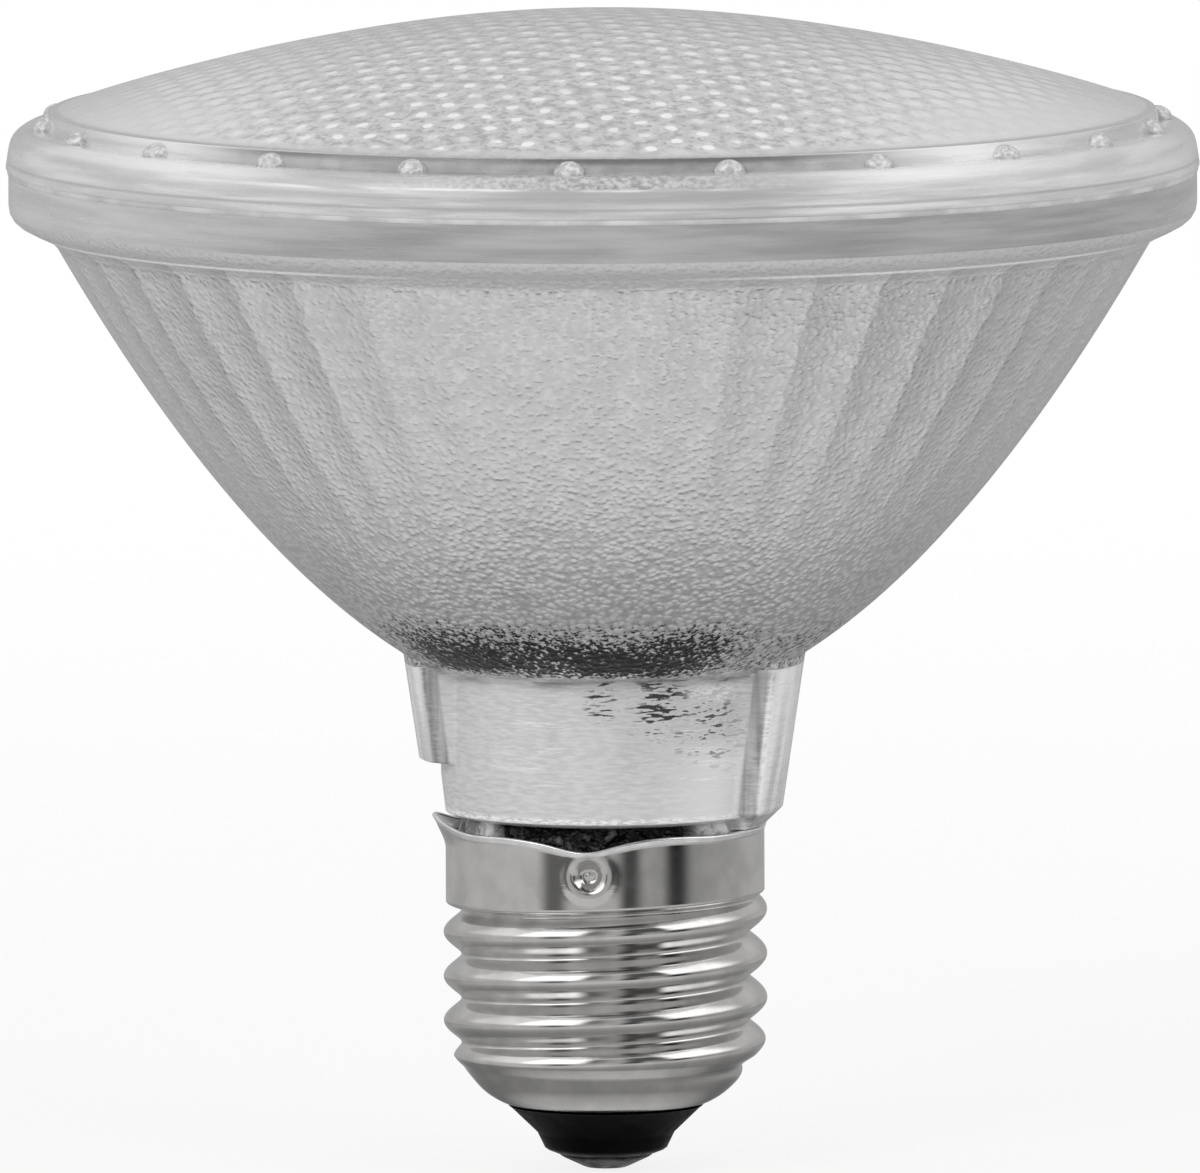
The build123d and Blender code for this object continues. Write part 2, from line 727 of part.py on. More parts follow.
def wire(points):
    """An insulated lead along straight runs joined by tangent arcs."""
    with BuildPart() as lead:
        with BuildLine() as route:
            FilletPolyline(*points, radius=wire_bend_radius)
        with BuildSketch(Plane(origin=route.line @ 0, z_dir=route.line % 0)):
            Circle(wire_diameter / 2)
        sweep(path=route.line)
    return lead.part


# Live wire: from the contact's shank up through the insulator and the sleeve's floor
live_bend = board_bottom + wire_diameter / 2
live_wire = wire(
    [
        (0, 0, wire_socket_bottom),
        (0, 0, live_bend),
        (mains_wire_spread, wire_place, live_bend + mains_wire_spread),
        (mains_wire_spread, wire_place, mains_wire_level),
    ]
)
live_wire.label = "live_wire"
export_step(live_wire, "parts/live_wire.step")

# Neutral wire: from the board out through the sleeve's side to the shell
barrel_inside = sqrt((barrel_radius - cap_sheet_thickness) ** 2 - mains_wire_spread**2)
neutral_end = -barrel_inside + solder_diameter / 4
neutral_wire = wire(
    [
        (-mains_wire_spread, wire_place, mains_wire_level),
        (-mains_wire_spread, wire_place, neutral_level),
        (-mains_wire_spread, neutral_end, neutral_level),
    ]
)
neutral_wire.label = "neutral_wire"
export_step(neutral_wire, "parts/neutral_wire.step")

# Neutral solder: a bead between that wire's end and the shell's inside
with BuildPart() as neutral_solder:
    with BuildSketch(Plane.XZ.offset(-neutral_end)):
        with Locations((-mains_wire_spread, neutral_level)):
            Circle(solder_diameter / 2)
    extrude(amount=solder_diameter)
    with BuildSketch(Plane.XY.offset(neutral_level - solder_diameter)):
        Circle(barrel_radius - cap_sheet_thickness - fit_gap)
    extrude(amount=2 * solder_diameter, mode=Mode.INTERSECT)
neutral_solder.part.label = "neutral_solder"
export_step(neutral_solder.part, "parts/neutral_solder.step")

# LED wires: from the board's head up through the dish and over onto the LED board
led_wire_start = board_bottom + led_wire_height
led_wire_end = board_top + wire_diameter / 2 + fit_gap
for name, side in (("led_wire_positive", 1), ("led_wire_negative", -1)):
    led_wire = wire(
        [
            (side * led_wire_spread, wire_place, led_wire_start),
            (side * led_wire_spread, wire_place, led_wire_end),
            (side * (led_wire_spread + led_wire_stub), wire_place, led_wire_end),
        ]
    )
    led_wire.label = name
    export_step(led_wire, f"parts/{name}.step")
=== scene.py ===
from math import cos, pi, radians, sin, sqrt

import bmesh
import bpy
import numpy as np
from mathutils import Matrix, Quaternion, Vector
from mathutils.geometry import delaunay_2d_cdt


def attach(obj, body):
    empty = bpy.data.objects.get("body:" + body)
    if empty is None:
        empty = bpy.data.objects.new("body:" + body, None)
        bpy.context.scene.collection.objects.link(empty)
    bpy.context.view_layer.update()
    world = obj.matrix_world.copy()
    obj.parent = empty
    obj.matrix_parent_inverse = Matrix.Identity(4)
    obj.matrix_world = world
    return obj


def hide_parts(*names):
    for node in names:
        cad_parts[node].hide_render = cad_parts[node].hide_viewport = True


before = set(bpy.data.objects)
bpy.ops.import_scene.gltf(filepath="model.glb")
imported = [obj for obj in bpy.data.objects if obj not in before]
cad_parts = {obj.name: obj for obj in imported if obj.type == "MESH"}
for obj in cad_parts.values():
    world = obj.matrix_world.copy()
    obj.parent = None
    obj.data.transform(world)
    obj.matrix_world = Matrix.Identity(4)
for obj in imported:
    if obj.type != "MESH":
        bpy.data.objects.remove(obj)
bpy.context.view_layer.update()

# Centre contact: the small turned metal button at the very bottom of the cap.
# It is tinned brass in a very dark colour, riveted through the black insulator.
mm = 0.001


def turned_rows(profile, columns):
    """Rows of points round the axis, one for each radius and height of a profile in millimetres."""
    angle = np.linspace(0, 2 * pi, columns, endpoint=False)
    radius = np.array([point[0] for point in profile])[:, None]
    height = np.array([point[1] for point in profile])[:, None]
    return np.stack([radius * np.cos(angle), radius * np.sin(angle), height + 0 * angle], axis=-1) * mm


def skin(name, rows, materials, zones=None, loop=False, corner=40):
    """A mesh over rows of points round the axis; zones gives each strip between rows its material."""
    count, columns = rows.shape[:2]
    strips = count if loop else count - 1
    row = np.arange(strips)[:, None]
    column = np.arange(columns)[None, :]
    here = row * columns + column
    beside = row * columns + (column + 1) % columns
    above = (row + 1) % count * columns + column
    across = (row + 1) % count * columns + (column + 1) % columns
    faces = np.stack([here, beside, across, above], axis=-1).reshape(-1, 4)
    mesh = bpy.data.meshes.new(name)
    mesh.from_pydata(rows.reshape(-1, 3).tolist(), [], faces.tolist())
    for material in materials:
        mesh.materials.append(material)
    if zones is not None:
        mesh.polygons.foreach_set("material_index", np.repeat(zones, columns).astype(np.int32))
    shape = bmesh.new()
    shape.from_mesh(mesh)
    bmesh.ops.remove_doubles(shape, verts=shape.verts, dist=1e-7)
    bmesh.ops.recalc_face_normals(shape, faces=shape.faces)
    shape.to_mesh(mesh)
    shape.free()
    mesh.shade_smooth()
    mesh.set_sharp_from_angle(angle=radians(corner))
    return mesh


def stand(name, mesh, slot, *nodes):
    """The finished piece in place of its CAD nodes, fixed to the bulb."""
    piece = bpy.data.objects.new(name, mesh)
    bpy.context.scene.collection.objects.link(piece)
    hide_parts(*nodes)
    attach(piece, "root")
    return piece


def finish(name):
    """A new material with its node tree, its shader and its Object coordinates."""
    material = bpy.data.materials.new(name)
    material.use_nodes = True
    tree = material.node_tree
    place = tree.nodes.new("ShaderNodeTexCoord").outputs["Object"]
    return material, tree, tree.nodes["Principled BSDF"], place


def put(tree, socket, value):
    """Sets a socket, or links it where the value is itself a socket."""
    if isinstance(value, bpy.types.NodeSocket):
        tree.links.new(value, socket)
    else:
        socket.default_value = value


def reckon(tree, operation, first, second=0.0, third=0.0):
    """One step of arithmetic on sockets or numbers."""
    step = tree.nodes.new("ShaderNodeMath")
    step.operation = operation
    for socket, value in zip(step.inputs, (first, second, third)):
        put(tree, socket, value)
    return step.outputs[0]


def times(tree, first, *others):
    """The product of some sockets or numbers."""
    for other in others:
        first = reckon(tree, "MULTIPLY", first, other)
    return first


def span(tree, value, low, high, start=0.0, end=1.0, kind="SMOOTHSTEP"):
    """A value carried from one range to another, held at both ends."""
    step = tree.nodes.new("ShaderNodeMapRange")
    step.interpolation_type = kind
    for socket, number in zip(step.inputs, (value, low, high, start, end)):
        put(tree, socket, number)
    return step.outputs["Result"]


def blend(tree, share, first, second):
    """A colour between two others."""
    mix = tree.nodes.new("ShaderNodeMix")
    mix.data_type = "RGBA"
    put(tree, mix.inputs[0], share)
    put(tree, mix.inputs[6], first)
    put(tree, mix.inputs[7], second)
    return mix.outputs[2]


def bump(tree, shader, height, strength, distance):
    """Relief on the shader's normal, with its depth in metres."""
    relief = tree.nodes.new("ShaderNodeBump")
    relief.inputs["Strength"].default_value = strength
    relief.inputs["Distance"].default_value = distance
    put(tree, relief.inputs["Height"], height)
    put(tree, shader.inputs["Normal"], relief.outputs["Normal"])


def grey(level, warmth=0.0):
    """A neutral colour, a little warm where warmth is over zero."""
    return (level * (1 + warmth), level, level * (1 - warmth), 1.0)


def effect(name, inputs, outputs):
    """A new shader group with its named sockets."""
    group = bpy.data.node_groups.new(name, "ShaderNodeTree")
    for label, kind in inputs:
        group.interface.new_socket(label, in_out="INPUT", socket_type=kind)
    for label in outputs:
        group.interface.new_socket(label, in_out="OUTPUT", socket_type="NodeSocketFloat")
    return group, group.nodes.new("NodeGroupInput").outputs, group.nodes.new("NodeGroupOutput").inputs


mottle, given, result = effect(
    "mottle", (("Place", "NodeSocketVector"), ("Stretch", "NodeSocketVector"), ("Features", "NodeSocketFloat")),
    ("Shade", "Grain"))
drawn = mottle.nodes.new("ShaderNodeVectorMath")
drawn.operation = "MULTIPLY"
put(mottle, drawn.inputs[0], given["Place"])
put(mottle, drawn.inputs[1], given["Stretch"])
for label, finer in (("Shade", 1.0), ("Grain", 4.0)):
    cloud = mottle.nodes.new("ShaderNodeTexNoise")
    put(mottle, cloud.inputs["Vector"], drawn.outputs[0])
    put(mottle, cloud.inputs["Scale"], times(mottle, given["Features"], finer))
    cloud.inputs["Detail"].default_value = 3
    put(mottle, result[label], span(mottle, cloud.outputs["Fac"], 0.3, 0.7))


def mottled(tree, place, features, stretch=(1, 1, 1)):
    """Clouds from 0 to 1 at so many features per metre as Shade, and four times as fine as Grain."""
    node = tree.nodes.new("ShaderNodeGroup")
    node.node_tree = mottle
    put(tree, node.inputs["Place"], place)
    node.inputs["Stretch"].default_value = stretch
    node.inputs["Features"].default_value = features
    return node.outputs


contact_tin, tree, shader, place = finish("contact_tin")
shader.inputs["Metallic"].default_value = 1.0
# The mottling varies the contact's dark colour and its roughness at random.
contact_mottle = mottled(tree, place, 900)["Shade"]
put(tree, shader.inputs["Base Color"], blend(tree, contact_mottle, grey(0.015), grey(0.06, 0.02)))
put(tree, shader.inputs["Roughness"], span(tree, contact_mottle, 0, 1, 0.5, 0.32))
turning = tree.nodes.new("ShaderNodeTexWave")
turning.wave_type = "RINGS"
turning.rings_direction = "Z"
turning.inputs["Scale"].default_value = 900
turning.inputs["Distortion"].default_value = 1.5
put(tree, turning.inputs["Vector"], place)
bump(tree, shader, turning.outputs["Fac"], 0.3, 0.00004)
contact_rows = turned_rows(
    [(0, 0), (1.3, 0), (1.6, 0.03), (1.9, 0.14), (3.45, 0.86), (3.72, 1.02), (3.75, 1.1), (1.5, 1.1), (1.5, 3.7),
     (0.7, 3.7), (0.7, 1.7), (0, 1.7)], 96)
contact_mesh = skin("contact_button", contact_rows, [contact_tin], corner=50)
stand("contact_button", contact_mesh, "tinned_contact", "centre_contact")

# Tip insulator: the glossy black glass cone between contact and screw shell.
# It is pressed hot into the shell's mouth, so its edges are soft and its face a little wavy.
vitrite, tree, shader, place = finish("black_vitrite")
shader.inputs["Specular IOR Level"].default_value = 0.035
wave, grain = mottled(tree, place, 350)
put(tree, shader.inputs["Base Color"], blend(tree, wave, grey(0.0008), grey(0.0025)))
put(tree, shader.inputs["Roughness"], span(tree, grain, 0, 1, 0.16, 0.34))
bump(tree, shader, wave, 0.35, 0.00012)
insulator_rows = turned_rows(
    [(1.6, 1.1), (3.75, 1.1), (4.2, 1.28), (4.75, 1.5), (5.0, 1.68), (5.08, 1.85), (5.5, 2.72), (5.62, 2.95),
     (7.7, 4.95), (7.95, 5.14), (7.6, 5.2), (7.5, 5.22), (7.5, 5.6), (8.8, 6.9), (8.8, 8.4), (1.1, 8.4), (1.1, 3.8),
     (1.6, 3.8)], 128)
insulator_mesh = skin("insulator_cone", insulator_rows, [vitrite], loop=True)
stand("insulator_cone", insulator_mesh, "black_glass", "tip_insulator")

# Screw shell: thin sheet rolled into the cap's knuckle thread and plated with bright nickel.
# Its collar is closed round the neck with a slanting, slightly torn lip, and three punched dents grip the cement.
thread_pitch = 3.629
first_crest = 10.24
crest_rise = 1.45
root_softness = 0.25
sheet = 0.35
mouth = 7.6
mouth_height = 5.2
barrel = 11.75
barrel_foot = 9.3
collar = 13.0
torn_corner = 186
crimp_turns = (-90, 30, 150)
crimp_height = 25.15
crimp_depth = 0.85
columns = 288
turn = np.linspace(0, 2 * pi, columns, endpoint=False)[None, :]


def smooth(value, low, high):
    """A soft step from 0 to 1."""
    share = np.clip((value - low) / (high - low), 0, 1)
    return share * share * (3 - 2 * share)


def degrees_from(turn, centre):
    """How far round the axis a bearing lies from a centre, to either side."""
    return (np.degrees(turn) - centre + 180) % 360 - 180


def near(turn, centre, width):
    """A soft hump round the axis, its centre and half width in degrees."""
    return np.exp(-((degrees_from(turn, centre) / width) ** 2))


collar_foot = 22.35 + 0.45 * np.cos(turn)
lip = 27.95 + 1.15 * near(turn, torn_corner, 17) - 0.95 * near(turn, -91, 13) + 0.12 * np.cos(turn - 0.4)
lip = lip + 0.05 * np.sin(5 * turn + 1) + 0.04 * np.sin(11 * turn)
dome_turn = np.linspace(0, 1, 16)
dome_radius = mouth + 3.5 * np.sin(dome_turn * pi / 2) ** 1.15
dome_height = mouth_height + 3.2 * (1 - np.cos(dome_turn * pi / 2)) ** 0.8
dome_top = dome_height[-1]
share = np.linspace(0, 1, 150)[1:, None]
wall_height = np.concatenate([dome_height[:, None] + 0 * turn, dome_top + (collar_foot - dome_top) * share])
wall_radius = np.interp(wall_height, [*dome_height, barrel_foot], [*dome_radius, barrel])
crest_away = (wall_height - first_crest) / thread_pitch - turn / (2 * pi)
ridge = np.sqrt(np.cos(pi * crest_away) ** 2 + root_softness**2) - root_softness
ridge = ridge / (sqrt(1 + root_softness**2) - root_softness) * smooth(wall_height, 6.4, 11.4)
wound = wall_radius + crest_rise * ridge
wall_radius = wound + (collar - wound) * smooth(wall_height, collar_foot - 0.7, collar_foot)
share = np.linspace(0, 1, 40)[1:, None]
collar_height = collar_foot + (lip - collar_foot) * share
collar_radius = collar + 0.95 * near(turn, torn_corner, 20) * smooth(collar_height, 26.2, 29.2)
collar_radius = collar_radius + 0.14 * smooth(share, 0.93, 1.0)
for crimp_turn in crimp_turns:
    across = np.radians(degrees_from(turn, crimp_turn)) * collar
    reach = np.sqrt(across**2 + (collar_height - crimp_height) ** 2)
    collar_radius = collar_radius - crimp_depth * (1 - smooth(reach, 0.35, 1.5))
    raised_ring = 0.09 * np.exp(-(((reach - 1.75) / 0.45) ** 2))
    punch_mark = 0.22 * np.exp(-((reach / 0.3) ** 2))
    collar_radius = collar_radius + raised_ring + punch_mark
outer_radius = np.concatenate([wall_radius, collar_radius])
outer_height = np.concatenate([wall_height, collar_height])
edge_radius = np.concatenate([collar_radius[-1:] + out for out in (0.02, -0.04, -0.17, -0.3, -0.4)])
edge_height = np.concatenate([lip + up for up in (0.08, 0.17, 0.22, 0.17, 0.06)])
inside = np.array([(barrel, 22.2), (barrel, barrel_foot), (11.1, 8.4), (9.0, 6.2), (mouth + sheet, 5.55)])
inner_radius = np.concatenate([collar_radius[::-3], inside[:, :1] + 0 * turn]) - sheet
inner_height = np.concatenate([collar_height[::-3], inside[:, 1:] + 0 * turn])
all_radius = np.concatenate([outer_radius, edge_radius, inner_radius])
all_height = np.concatenate([outer_height, edge_height, inner_height])
shell_rows = np.stack([all_radius * np.cos(turn), all_radius * np.sin(turn), all_height], axis=-1) * mm

nickel, tree, shader, place = finish("bright_nickel")
shader.inputs["Metallic"].default_value = 1.0
haze = mottled(tree, place, 420)["Shade"]
rolling = mottled(tree, place, 260, (1, 1, 9))["Shade"]
put(tree, shader.inputs["Base Color"], blend(tree, haze, grey(0.6, 0.012), grey(0.7, 0.018)))
put(tree, shader.inputs["Roughness"], span(tree, haze, 0, 1, 0.14, 0.08))
bump(tree, shader, rolling, 0.04, 0.00005)
# The lip's rolled edge is painted near white, a painted highlight along the collar's edge.
rolled_edge, tree, shader, place = finish("rolled_edge")
shader.inputs["Metallic"].default_value = 1.0
haze = mottled(tree, place, 700)["Shade"]
put(tree, shader.inputs["Base Color"], blend(tree, haze, grey(0.86), grey(1.0)))
put(tree, shader.inputs["Roughness"], span(tree, haze, 0, 1, 0.3, 0.2))
bump(tree, shader, haze, 0.2, 0.00005)
edge_start = len(outer_radius) - 3
shell_zones = np.zeros(len(shell_rows), int)
shell_zones[edge_start:edge_start + 6] = 1
shell_mesh = skin("nickel_shell", shell_rows, [nickel, rolled_edge], shell_zones, loop=True, corner=60)
stand("nickel_shell", shell_mesh, "nickel_plate", "screw_shell")

# Reflector housing: one pressed glass piece of bowl, rim, neck, lugs and spigot, silvered inside.
# The bowl's outside is pebbled and faintly fluted, while the rim and the lugged neck are left clear.
spigot = 11.45
neck_foot = 29.5
shoulder_foot = 28.95
shoulder_height = 0.6
lug_top = 42.6
bowl_width = 51.3
bowl_vertex = 37.058
mirror_width = 48.009
mirror_vertex = 39.778
flute_count = 44
flute_depth = 0.3
rim_seat = 81.63
columns = 8 * flute_count
turn = np.linspace(0, 2 * pi, columns, endpoint=False)[None, :]


def lug_window(turn, centre):
    """One over a lug and none beside it, with soft ramps between."""
    return 1 - smooth(np.abs(degrees_from(turn, centre)), 23.5, 32)


def neck_radius(height):
    """Outside of the neck with its two lugs."""
    core = 13.0 + 1.4 * (height - neck_foot) / 11.6
    core = np.minimum(core, spigot + 1.9 * np.sqrt(np.clip((height - shoulder_foot) / shoulder_height, 0, 1)))
    lug = 14.5 + 1.9 * (height - neck_foot) / 12.8
    bevelled = np.minimum(lug, 12.9 + (height - 28.1) * 1.05)
    long_lug = lug_window(turn, 0) ** (1 + 5 * (1 - smooth(height, 28.4, 29.8))) * (height > 28.05)
    short_lug = lug_window(turn, 180) * smooth(height, 33.45, 33.75)
    radius = core + (np.maximum(bevelled, core) - core) * long_lug
    return np.maximum(radius, core + (lug - core) * short_lug)


shoulder_rows = (shoulder_foot, shoulder_foot + shoulder_height, 14)
neck_rows = ((28.0, 28.9, 4), shoulder_rows, (29.7, 33.3, 14), (33.4, 33.9, 8), (34.1, 41.0, 30))
neck_height = np.concatenate([np.linspace(*rows) for rows in neck_rows])[:, None] + 0 * turn
spigot_radius = np.array([[9.5], [spigot], [spigot]]) + 0 * turn
spigot_height = np.array([[16.9], [16.9], [27.9]]) + 0 * turn
bowl_radius = np.linspace(14.45, 44.6, 84)[:, None] + 0 * turn
bowl_height = bowl_vertex + bowl_radius**2 / bowl_width
flute = smooth(bowl_height, 46, 68) * flute_depth * np.abs(np.cos(flute_count / 2 * turn))
lugged = np.where(bowl_height < lug_top, np.maximum(bowl_radius, neck_radius(bowl_height)), bowl_radius)
under_rim = [(44.95, 76.22), (45.6, 76.6), (46.7, 77.1), (47.55, 77.55), (48.02, 77.95)]
rim_edge = [(48.3, 78.45), (48.4, 79.1), (48.4, 81.45), (48.38, 81.58)]
rim = np.array(under_rim + rim_edge + [(48.3, rim_seat), (46.0, rim_seat), (44.83, rim_seat)])
rim_radius = rim[:, :1] + 0 * turn
rim_height = rim[:, 1:] + 0 * turn
inner_radius = np.linspace(44.3, 9.5, 48)[:, None] + 0 * turn
inner_height = mirror_vertex + inner_radius**2 / mirror_width
housing_radius = np.concatenate([spigot_radius, neck_radius(neck_height), lugged - flute, rim_radius, inner_radius])
housing_height = np.concatenate([spigot_height, neck_height, bowl_height, rim_height, inner_height])
housing_rows = np.stack([housing_radius * np.cos(turn), housing_radius * np.sin(turn), housing_height], axis=-1) * mm
neck_strips = len(spigot_radius) + len(neck_height)
zones = np.zeros(len(housing_rows), int)
zones[neck_strips + 2:neck_strips + len(bowl_height) + len(under_rim)] = 1
zones[-len(inner_radius):] = 2
zones[-len(inner_radius) - len(rim) + len(under_rim):-len(inner_radius)] = 3

round_axis, given, result = effect("round_axis", (("Place", "NodeSocketVector"),), ("Bearing", "Reach", "Level"))
split = round_axis.nodes.new("ShaderNodeSeparateXYZ")
put(round_axis, split.inputs[0], given["Place"])
across, along, level = split.outputs
put(round_axis, result["Bearing"], reckon(round_axis, "ARCTAN2", across, times(round_axis, along, -1.0)))
put(round_axis, result["Reach"], reckon(round_axis, "SQRT", reckon(
    round_axis, "ADD", times(round_axis, across, across), times(round_axis, along, along))))
put(round_axis, result["Level"], level)


def about_axis(tree, place):
    """Bearing from the front in radians, distance from the axis and height, in metres."""
    node = tree.nodes.new("ShaderNodeGroup")
    node.node_tree = round_axis
    put(tree, node.inputs["Place"], place)
    return node.outputs


def hump(tree, value, centre, width):
    """One at the centre, falling softly to nothing at the width."""
    return span(tree, reckon(tree, "ABSOLUTE", reckon(tree, "SUBTRACT", value, centre)), 0.0, width, 1.0, 0.0)


glass_ior = 1.5
rim_glass, tree, shader, place = finish("rim_glass")
shader.inputs["Transmission Weight"].default_value = 0.25
shader.inputs["IOR"].default_value = glass_ior
shader.inputs["Coat Weight"].default_value = 1.0
shader.inputs["Coat Roughness"].default_value = 0.06
bearing, reach, level = about_axis(tree, place)
to_right = reckon(tree, "SINE", bearing)
aside = reckon(tree, "ABSOLUTE", to_right)
facing = span(tree, aside, 0.2, 0.75, 1.0, 0.0)
streak = mottled(tree, place, 75, (1, 1, 14))["Shade"]
crumb, fleck = mottled(tree, place, 520, (1, 1, 1.5))
# Painted light on the rim glass: the lower rim lighter toward the left, the upper rim lighter at the sides, and the
# upper rim lighter than the lower. A darker line runs round the upper rim at 82.75 mm.
lower = blend(tree, streak, grey(0.34), grey(0.48))
lower = blend(tree, span(tree, to_right, -0.34, -0.72), lower, blend(tree, streak, grey(0.54), grey(0.68)))
upper = blend(tree, streak, grey(0.46), grey(0.72))
upper = blend(tree, span(tree, aside, 0.3, 0.7), upper, blend(tree, streak, grey(0.6), grey(0.86)))
upper = blend(tree, times(tree, hump(tree, level, 82.75 * mm, 0.22 * mm), 0.6), upper, grey(0.34))
# Painted dark reflection: a streaky dark band on the front of the rounded shoulder.
dark_belt_reflection = times(tree, hump(tree, level, 83.6 * mm, 0.55 * mm), span(tree, streak, 0.2, 0.8, 0.4, 0.8))
upper = blend(tree, times(tree, dark_belt_reflection, facing), upper, grey(0.36))
crown = times(tree, span(tree, level, 84.2 * mm, 84.5 * mm), facing, hump(tree, bearing, 0.1, 0.5))
upper = blend(tree, crown, upper, blend(tree, fleck, grey(0.3), grey(0.66)))
# Painted highlights: a bright streaky line along the shoulder at the front, and bright flares on the shoulder toward
# the sides.
gleam = times(tree, hump(tree, level, 84.25 * mm, 0.2 * mm), span(tree, streak, 0.25, 0.7), facing)
flare = times(tree, hump(tree, aside, 0.66, 0.3), span(tree, level, 84.3 * mm, 85.0 * mm))
flare = times(tree, flare, span(tree, streak, 0.1, 0.6, 0.5, 1.0))
upper = blend(tree, reckon(tree, "MAXIMUM", gleam, flare), upper, grey(1.0))
pale = blend(tree, span(tree, level, 81.4 * mm, 82.2 * mm), lower, upper)
# Painted dark reflection: the step's riser under the dome's edge is painted dark at the front, fading toward the
# sides, and darkest at its top.
step_face = times(tree, span(tree, reach, 44.98 * mm, 45.1 * mm), span(tree, reach, 45.75 * mm, 45.5 * mm))
step_face = times(tree, step_face, span(tree, level, 85.1 * mm, 85.3 * mm))
step_face = times(tree, step_face, span(tree, aside, 0.45, 0.75, 1.0, 0.1))
riser = blend(tree, reckon(tree, "MULTIPLY_ADD", streak, 0.6, times(tree, crumb, 0.4)), grey(0.24), grey(0.48))
riser = blend(tree, span(tree, level, 86.0 * mm, 86.5 * mm, 0.0, 0.8), riser, grey(0.13))
put(tree, shader.inputs["Base Color"], blend(tree, step_face, pale, riser))
put(tree, shader.inputs["Roughness"], span(tree, streak, 0, 1, 0.32, 0.2))
bump(tree, shader, reckon(tree, "MULTIPLY_ADD", times(tree, fleck, crown), 0.5, streak), 0.3, 0.0002)

pebbled_silver, tree, shader, place = finish("pebbled_silver")
shader.inputs["Coat Weight"].default_value = 0.2
shader.inputs["Coat Roughness"].default_value = 0.3
bearing, _, level = about_axis(tree, place)
pebbles = tree.nodes.new("ShaderNodeTexVoronoi")
pebbles.feature = "SMOOTH_F1"
pebbles.inputs["Scale"].default_value = 1800
pebbles.inputs["Smoothness"].default_value = 0.6
put(tree, pebbles.inputs["Vector"], place)
pebble = span(tree, pebbles.outputs["Distance"], 0.15, 0.75, 1.0, 0.0)
cloud, grain = mottled(tree, place, 420, (1, 1, 1.4))
relief = reckon(tree, "MULTIPLY_ADD", grain, 0.5, pebble)
low = span(tree, level, 62 * mm, 42 * mm)
# Painted shade: the hollows between pebbles are darkened, more strongly low on the bowl.
hollow_shade = times(tree, reckon(tree, "SUBTRACT", 1.0, pebble), span(tree, low, 0, 1, 0.18, 0.85, "LINEAR"))
# Painted shade across each flute: light to dark, with a dark line at its ridge, strongest toward the diagonals and
# high on the bowl.
ridge = reckon(tree, "MULTIPLY_ADD", reckon(tree, "ABSOLUTE", bearing), flute_count / (2 * pi), 0.5)
slope = reckon(tree, "SUBTRACT", 1.0, reckon(tree, "FRACT", reckon(tree, "MULTIPLY_ADD", cloud, 0.1, ridge)))
skewed = reckon(tree, "ABSOLUTE", reckon(tree, "SINE", times(tree, bearing, 2.0)))
flute_shade = times(tree, slope, slope, span(tree, skewed, 0.4, 0.95, 0.05, 0.8))
flute_shade = times(tree, flute_shade, span(tree, level, 50 * mm, 68 * mm))
silver = blend(tree, cloud, grey(0.92), grey(1.0))
silver = blend(tree, flute_shade, silver, grey(0.71))
silver = blend(tree, hollow_shade, silver, grey(0.5))
# Painted shade: the silver darkens where the bowl turns away toward its outline.
turned_away = tree.nodes.new("ShaderNodeLayerWeight").outputs["Facing"]
silver = blend(tree, span(tree, turned_away, 0.6, 1.0, 0.0, 0.4), silver, grey(0.6))
# Under the rim the colour is a plain pebbled grey with little metal, and the painted flute shade runs on up to 76.9
# mm.
underside = span(tree, level, 75.75 * mm, 76.2 * mm)
coved = blend(tree, flute_shade, blend(tree, pebble, grey(0.5), grey(0.6)), grey(0.36))
coved = blend(tree, span(tree, level, 76.85 * mm, 77.0 * mm), coved, grey(0.5))
silver = blend(tree, underside, silver, coved)
# Painted highlight: a bright line along the crease under the rim, strongest toward the diagonals.
crease_highlight = times(tree, hump(tree, level, 76.9 * mm, 0.22 * mm), span(tree, skewed, 0.3, 0.9))
silver = blend(tree, crease_highlight, silver, grey(0.95))
put(tree, shader.inputs["Metallic"], span(tree, underside, 0, 1, 1.0, 0.1))
# Painted shade: a dark band round the bowl's foot above the neck, speckled by the pebbles, darkest at the front and
# the back right.
patch = mottled(tree, place, 150, (1, 1, 1.6))["Shade"]
gloomy_sides = []
for gloom_turn in (-0.12, 2.4):
    off_side = reckon(tree, "COSINE", reckon(tree, "SUBTRACT", bearing, gloom_turn))
    gloomy_sides.append(span(tree, off_side, 0.54, 1.0))
band = times(tree, span(tree, level, 41.2 * mm, 42.4 * mm), span(tree, level, 47.5 * mm, 42.8 * mm))
gloom = times(tree, band, span(tree, reckon(tree, "MAXIMUM", *gloomy_sides), 0, 0.75, 0.2, 1.0))
gloom = times(tree, gloom, span(tree, patch, 0, 0.8, 0.78, 1.02))
fine = mottled(tree, place, 760, (1, 1, 1.4))["Grain"]
fleck = reckon(tree, "MULTIPLY_ADD", gloom, 1.1, reckon(tree, "MULTIPLY_ADD", pebble, -0.4, fine))
dark = times(tree, span(tree, fleck, 0.66, 0.98), span(tree, gloom, 0.02, 0.12))
put(tree, shader.inputs["Base Color"], blend(tree, dark, silver, grey(0.03)))
put(tree, shader.inputs["Roughness"], span(tree, pebble, 0, 1, 0.42, 0.3))
bump(tree, shader, relief, 0.5, 0.00016)

